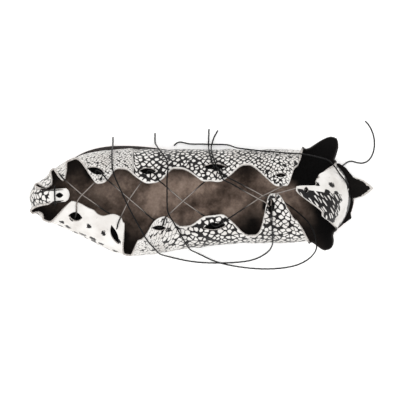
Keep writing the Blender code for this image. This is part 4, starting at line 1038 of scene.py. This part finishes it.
# Lace. One thin black waxed cord of three twisted strands. It runs up through the slots and over the edges of
# the tabs, crossing the throat from side to side, and its ends lie loose over the shoe and on the floor.
LACE_DIAMETER = 1.3
LACE_SIDES = 10
LACE_STEP = 0.7
LACE_STRANDS = 3
LACE_LAY = 5.0
STRAND_GROOVE = 0.08
LACE_LIFT = 0.95
LACE_FLOOR_GAP = 0.1
TAUT_SPAN = 12.0
TAUT_SHARES = (0.12, 0.5, 0.88)
HIGHLIGHT_REACH = 21.0
HIGHLIGHT_FADE = 12.0
CROWN_START = 0.45
CROWN_FADE = 0.5
CROSSINGS = {
    "toe": (231.0, -6.5),
    "ball": (191.0, -2.0),
    "waist": (145.5, 1.0),
    "instep": (77.5, -2.0),
    "heel": (56.0, -3.0),
}
STRAP_RING_INSET = 12.5
STRAP_RING_STEPS = 18
STRAP_HALF_MOST = 14.0
STRAP_HALF_STEP = 0.1
LACE_ROUTES = {
    "lace_end_lateral": (
        (70.0, 6.0, 52.4), (70.1, 10.5, 51.8), (70.2, 15.6, 50.3), (70.3, 24.4, 45.5),
        (70.2, 31.4, 38.2), (70.0, 36.9, 29.0), (70.5, 39.8, 18.0), (71.5, 42.2, 7.0),
        (74.0, 45.4, 1.6), (83.0, 50.8, 0.8), (98.3, 53.9, 0.8), (119.5, 54.2, 0.8),
        (140.7, 52.2, 0.8), (156.0, 48.6, 0.9), (162.0, 46.9, 6.0), (165.0, 45.9, 16.0),
        (167.4, 44.4, 27.5), (172.0, 39.2, 38.0), (177.5, 32.4, 44.8), (180.5, 27.0, 46.8),
        (187.5, 13.5, 48.6),
        (194.8, -1.8, 50.0), (200.6, -15.5, 48.8), (204.2, -25.5, 46.8), (205.0, -34.6, 41.2),
        (204.8, -41.4, 32.0), (204.4, -45.4, 21.0), (204.0, -47.6, 9.0), (203.8, -49.4, 2.0),
        (203.6, -55.0, 0.8),
    ),
    "lace_end_heel": (
        (64.0, 1.0, 46.4), (56.0, 6.5, 40.0), (48.0, 13.0, 33.5), (40.0, 21.0, 27.5),
        (35.0, 30.0, 21.5), (33.4, 37.0, 17.8), (32.9, 41.0, 16.6), (33.1, 44.0, 15.8), (34.4, 46.8, 13.0),
        (36.3, 49.4, 7.2), (38.8, 51.8, 2.8), (42.6, 54.4, 0.8), (51.0, 57.9, 0.8), (60.0, 59.6, 0.8),
        (77.2, 60.3, 0.8), (98.4, 58.1, 0.8), (107.0, 56.4, 1.5), (115.0, 54.3, 2.8), (123.7, 50.9, 1.8),
        (131.0, 47.2, 1.0), (136.0, 44.6, 8.0), (139.0, 43.2, 18.0), (141.5, 41.0, 27.5),
        (145.0, 35.2, 39.0), (149.0, 28.0, 45.8), (154.6, 17.8, 51.0), (158.2, 10.7, 53.0),
        (159.0, 1.0, 51.2), (158.8, -7.5, 51.0), (158.7, -14.0, 51.6), (158.3, -21.0, 49.4),
        (157.6, -27.0, 46.8), (158.0, -33.0, 42.4), (160.6, -38.2, 36.2), (164.0, -42.6, 29.5),
        (166.4, -46.2, 18.0), (167.6, -48.0, 7.0), (168.0, -50.0, 1.4), (167.8, -57.5, 0.8),
    ),
    "lace_heel_strand": (
        (4.5, -9.6, 19.4), (6.9, -12.6, 24.4), (9.8, -16.4, 28.8), (12.4, -20.0, 30.4),
        (14.8, -23.8, 33.0), (17.4, -27.2, 35.0), (20.4, -30.2, 35.0), (27.0, -32.8, 34.4),
        (34.5, -34.8, 34.4), (41.0, -36.2, 35.0), (46.0, -36.9, 35.2), (52.0, -37.3, 34.4),
        (60.0, -38.2, 33.4), (72.0, -39.4, 31.6), (84.0, -41.0, 29.0), (94.0, -42.4, 22.0),
        (101.0, -44.0, 11.0),
        (107.0, -46.0, 2.2), (118.0, -46.6, 0.8), (131.0, -47.2, 0.8), (141.0, -48.0, 0.8),
        (149.0, -48.8, 0.8), (152.0, -46.4, 0.8),
    ),
    "lace_end_instep": (
        (117.2, -22.5, 42.8), (118.2, -27.0, 45.2), (119.4, -30.5, 45.0), (120.8, -35.0, 40.6),
        (121.8, -39.0, 34.8), (122.4, -42.4, 25.0), (122.6, -44.0, 16.0), (122.6, -44.4, 8.0),
        (122.6, -45.6, 4.2), (122.6, -47.2, 3.0), (122.4, -50.5, 1.5), (122.2, -54.5, 0.8),
        (121.9, -59.8, 0.8),
    ),
    "lace_end_instep_twin": (
        (115.2, -22.5, 42.8), (116.0, -27.0, 45.2), (117.2, -30.5, 45.0), (118.6, -35.0, 40.6),
        (119.7, -39.0, 34.8), (120.3, -42.4, 25.0), (120.4, -44.0, 16.0), (120.3, -44.4, 8.0),
        (120.1, -45.6, 4.2), (119.6, -47.2, 3.0), (118.6, -50.5, 1.5), (117.0, -54.0, 0.8),
        (114.3, -58.4, 0.8),
    ),
    "lace_end_back": (
        (10.0, -25.2, 0.8), (7.0, -27.4, 0.8), (2.7, -29.4, 0.8), (-2.4, -28.4, 0.8), (-7.0, -27.6, 0.8),
        (-11.2, -28.6, 0.8), (-15.2, -32.4, 0.8), (-17.6, -38.0, 0.8), (-18.4, -44.0, 0.8),
        (-17.9, -50.0, 0.8), (-16.2, -55.5, 0.8), (-13.8, -60.0, 0.8), (-11.0, -63.4, 0.8),
    ),
}


def smooth_path(route, spacing):
    """Points, evenly spaced, on a smooth open curve through a route."""
    fine = smooth_curve(np.array(route), closed=False)
    travel = travelled(fine)
    even = np.linspace(0.0, travel[-1], round(travel[-1] / spacing) + 1)
    return np.column_stack([np.interp(even, travel, fine[:, axis]) for axis in range(3)])


def taut(route):
    """A route with more points near the ends of its long spans, so that they stay straight."""
    made = [np.array(route[0])]
    for here, following in zip(route, route[1:]):
        here, following = np.array(here), np.array(following)
        if np.linalg.norm(following - here) > TAUT_SPAN:
            made += [here + (following - here) * share for share in TAUT_SHARES]
        made.append(following)
    return made


def twist_cord(shape, path, painted_highlight=0.0):
    """A tube of twisted strands along a path of the model, with a painted highlight along its top over the
    throat.
    """
    twist_layer = shape.loops.layers.uv.verify()
    highlight_layer = shape.verts.layers.float.get("painted_highlight") or shape.verts.layers.float.new("painted_highlight")
    side = Vector((0.0, 0.0, 1.0))
    rings = []
    gone = travelled(np.array([list(point) for point in path]) / MM)
    for i, point in enumerate(path):
        near = min((point - place(*plan, point.z / MM)).length / MM for plan in CROSSINGS.values())
        pale = smooth((HIGHLIGHT_REACH - near) / HIGHLIGHT_FADE)
        heading = (path[min(i + 1, len(path) - 1)] - path[max(i - 1, 0)]).normalized()
        side = (side - heading * side.dot(heading)).normalized()
        other = heading.cross(side)
        ring = []
        for k in range(LACE_SIDES):
            angle = 2 * math.pi * k / LACE_SIDES
            outward = side * math.cos(angle) + other * math.sin(angle)
            groove = math.cos(LACE_STRANDS * angle - 2 * math.pi * gone[i] / LACE_LAY)
            reach = LACE_DIAMETER / 2 * (1 - STRAND_GROOVE + STRAND_GROOVE * groove) * MM
            vert = shape.verts.new(point + outward * reach)
            # Painted highlight along the cord's top, where it crosses the throat
            vert[highlight_layer] = painted_highlight * pale * smooth((outward.z - CROWN_START) / CROWN_FADE)
            ring.append(vert)
        rings.append(ring)
    for i, (here, following) in enumerate(zip(rings, rings[1:])):
        for k in range(LACE_SIDES):
            after = (k + 1) % LACE_SIDES
            face = shape.faces.new((here[k], here[after], following[after], following[k]))
            for loop, (row, column) in zip(face.loops, ((i, k), (i, k + 1), (i + 1, k + 1), (i + 1, k))):
                loop[twist_layer].uv = (gone[row], column / LACE_SIDES)
    shape.faces.new(rings[0][::-1])
    shape.faces.new(rings[-1])


# Black waxed cord: dyed fibres of 0.4 mm under wax, with a painted highlight along its top where it crosses
# the throat
waxed_cord, add, shader, spot = new_finish("black_waxed_cord")
fibres = add("TexNoise", {"Vector": spot, "Scale": 2400.0, "Detail": 3.0})
dye = add("ValToRGB", {"Fac": fibres}, ((0.35, "#030303"), (0.7, "#0b0a0a")))
painted_highlight = add("Attribute", attribute_name="painted_highlight").outputs["Fac"]
highlighted_dye = add("Mix", {"Factor": painted_highlight, "A": dye, "B": linear("#8d847e")}, data_type="RGBA")
bump = add("Bump", {"Height": fibres, "Strength": 0.35, "Distance": 0.0002})
set_inputs(shader, {"Base Color": highlighted_dye, "Roughness": 0.5, "Normal": bump, "Specular IOR Level": 0.18})

OVER = LACE_LIFT
UNDER = -LACE_LIFT - HIDE_THICKNESS
THROUGH = -HIDE_THICKNESS / 2
SLOT = "slot"


def by_tab(tab, *stops):
    """Points of a run by a tab: in its slot, or by shift along its edge, inset and lift off the hide."""
    points = []
    for stop in stops:
        if stop == SLOT:
            (distance, height), lift = hide.slot(tab), THROUGH
        else:
            shift, inset, lift = stop
            distance, height = hide.edge(tab, shift)
            height -= inset
        normal = hide.frame(distance, height)[0]
        points.append(hide.point(distance, height) / MM + normal * lift)
    return points


def over_throat(crossing, up):
    """Point where a run passes over the throat."""
    return place(*CROSSINGS[crossing], up) / MM


# Runs of the cord through the tabs, from the toe to the heel
LACE_RUNS = (
    (
        *by_tab("toe_strip_medial", (2.0, 7.0, OVER), (0.0, 1.0, OVER)),
        over_throat("toe", 44.6),
        *by_tab("ball_tab_lateral", (7.0, 0.0, UNDER), (3.0, 9.0, UNDER), (-3.6, 12.0, THROUGH)),
        *by_tab("ball_tab_lateral", (-3.2, 7.0, OVER), (-2.8, 0.5, OVER)),
        over_throat("ball", 46.6),
        *by_tab("ball_tab_medial", (8.0, 0.0, UNDER), (4.0, 7.0, UNDER), SLOT),
        *by_tab("ball_tab_medial", (-4.0, 7.0, OVER), (-7.0, 0.5, OVER)),
        over_throat("waist", 48.2),
        *by_tab("instep_tab_lateral", (8.0, 0.0, UNDER), (4.0, 6.0, UNDER), SLOT),
        *by_tab("instep_tab_lateral", (-7.0, 7.0, OVER), (-12.0, 0.5, OVER)),
        over_throat("instep", 50.4),
        *by_tab("quarter_tab_medial", (0.0, 0.0, UNDER), (0.0, 6.0, UNDER), SLOT),
    ),
    (
        *by_tab("toe_tab_lateral", (3.0, 24.0, UNDER), (2.0, 18.0, UNDER), SLOT),
        *by_tab("toe_tab_lateral", (3.0, 8.0, OVER), (6.0, 0.5, OVER)),
        over_throat("toe", 46.4),
        *by_tab("toe_tab_medial", (5.0, 0.0, UNDER), (3.0, 7.0, UNDER), SLOT),
        *by_tab("toe_tab_medial", (-3.0, 7.0, OVER), (-6.0, 0.5, OVER)),
        over_throat("ball", 48.4),
        *by_tab("joint_tab_lateral", (7.0, 0.0, UNDER), (6.0, 5.0, UNDER), SLOT),
        *by_tab("joint_tab_lateral", (0.0, 6.0, OVER), (-3.0, 0.5, OVER)),
        over_throat("waist", 50.0),
        *by_tab("instep_tab_medial", (7.0, 0.0, UNDER), (4.0, 8.0, UNDER), SLOT),
        *by_tab("instep_tab_medial", (-7.0, 8.0, OVER), (-12.0, 0.5, OVER)),
        over_throat("instep", 52.2),
        *by_tab("quarter_tab_lateral", (6.0, 0.0, UNDER), (4.0, 5.0, UNDER), SLOT),
    ),
    (
        *by_tab("quarter_tab_lateral", (0.0, 6.0, OVER), (-2.0, 0.5, OVER)),
        *by_tab("heel_wall", (0.0, 0.0, UNDER), (0.0, 4.0, UNDER), SLOT),
    ),
    (
        *by_tab("instep_tab_medial", (-3.0, 14.0, THROUGH), (-7.0, 5.0, OVER), (-9.0, 0.5, OVER)),
        place(80.5, 1.0, 54.0) / MM,
        *by_tab("quarter_tab_lateral", (9.0, 0.5, OVER), (7.0, 7.0, OVER)),
    ),
)
lace_shape = bmesh.new()
for route in LACE_RUNS:
    path = [Vector(point) * MM for point in smooth_path(taut(route), LACE_STEP)]
    twist_cord(lace_shape, path, 1.0)
distance, height = hide.edge("toe_strap", 0.0)
height -= STRAP_RING_INSET
normal, edge, _ = hide.frame(distance, height)
shifts = np.arange(0.0, STRAP_HALF_MOST, STRAP_HALF_STEP)
half = next(shift for shift in shifts if hide.edge("toe_strap", shift)[1] < height)
middle = hide.point(distance, height) / MM - normal * HIDE_THICKNESS / 2
ring = []
for angle in np.linspace(-math.pi / 2, 3 * math.pi / 2, STRAP_RING_STEPS + 1):
    lift = (LACE_LIFT + HIDE_THICKNESS / 2) * math.sin(angle)
    ring.append((middle + edge * (half + LACE_LIFT) * math.cos(angle) + normal * lift) * MM)
twist_cord(lace_shape, ring)
lace = finished("lace", lace_shape)
lace.data.materials.append(waxed_cord)
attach(lace, "root")
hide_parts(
    "lace_crossing_toe",
    "lace_crossing_ball",
    "lace_crossing_waist",
    "lace_crossing_instep",
    "lace_heel_bar",
)

for name, route in LACE_ROUTES.items():
    points = smooth_path(route, LACE_STEP)
    points[:, 2] = np.maximum(points[:, 2], LACE_DIAMETER / 2 + LACE_FLOOR_GAP)
    path = [place(*point) for point in points]
    end_shape = bmesh.new()
    twist_cord(end_shape, path)
    lace_end = finished(f"{name}_cord", end_shape)
    lace_end.data.materials.append(waxed_cord)
    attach(lace_end, "root")
    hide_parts(name)

# Floor. A wide sheet of matt white studio paper, laid flat just below the sole and the loose cord. It takes
# a faint soft shadow and fills the picture behind the shoe.
FLOOR_SIZE = 9.0
FLOOR_DROP = 0.0002
floor_shape = bmesh.new()
bmesh.ops.create_grid(floor_shape, x_segments=8, y_segments=8, size=FLOOR_SIZE / 2)
bmesh.ops.translate(floor_shape, verts=floor_shape.verts, vec=(0.0, 0.0, -FLOOR_DROP))
studio_floor = finished("studio_floor", floor_shape)

# Matt white paper: pulp of 3 mm, and a little light of its own that keeps the shadow faint
paper, add, shader, spot = new_finish("white_studio_paper")
pulp = add("TexNoise", {"Vector": spot, "Scale": 300.0, "Detail": 3.0})
sheet_tone = add("ValToRGB", {"Fac": pulp}, ((0.3, "#f4f4f3"), (0.7, "#f8f8f7")))
set_inputs(shader, {"Base Color": sheet_tone, "Roughness": 0.9, "Specular IOR Level": 0.1})
set_inputs(shader, {"Emission Color": linear("#ffffff"), "Emission Strength": 0.3})
studio_floor.data.materials.append(paper)

# Light. Even soft studio light: a white surround on all sides, one broad panel straight above and a second,
# weaker one towards the toe.
world = bpy.data.worlds.new("white_surround")
world.use_nodes = True
surround = world.node_tree.nodes["Background"]
set_inputs(surround, {"Color": linear("#ffffff"), "Strength": 1.0})
bpy.context.scene.world = world
Panel = namedtuple("Panel", "name place turn size power")
PANELS = (
    Panel("panel_above", (0.1, 0.05, 1.4), (-2.0, 4.0, 0.0), 1.4, 6.4),
    Panel("panel_toe", (1.0, 0.5, 0.9), (-24.0, 46.0, 0.0), 0.8, 2.4),
)
for panel in PANELS:
    light = bpy.data.lights.new(panel.name, "AREA")
    light.size = panel.size
    light.energy = panel.power
    lamp = put(panel.name, light)
    lamp.location = panel.place
    lamp.rotation_euler = [math.radians(angle) for angle in panel.turn]
bpy.context.scene.view_settings.view_transform = "Standard"

# Camera. Straight above, as in the photograph, with the toe to the left and the outer side of the foot
# below. It sees without perspective, so that sizes read true from edge to edge.
VIEW_WIDTH = 0.34
VIEW_CENTRE = (0.002985, 0.000352)
VIEW_TURN_DEG = 178.6
VIEW_HEIGHT = 1.2
lens = bpy.data.cameras.new("photo_camera")
lens.type = "ORTHO"
lens.ortho_scale = VIEW_WIDTH
camera = put("photo_camera", lens)
camera.location = (*VIEW_CENTRE, VIEW_HEIGHT)
camera.rotation_euler = (0.0, 0.0, math.radians(VIEW_TURN_DEG))
bpy.context.scene.camera = camera
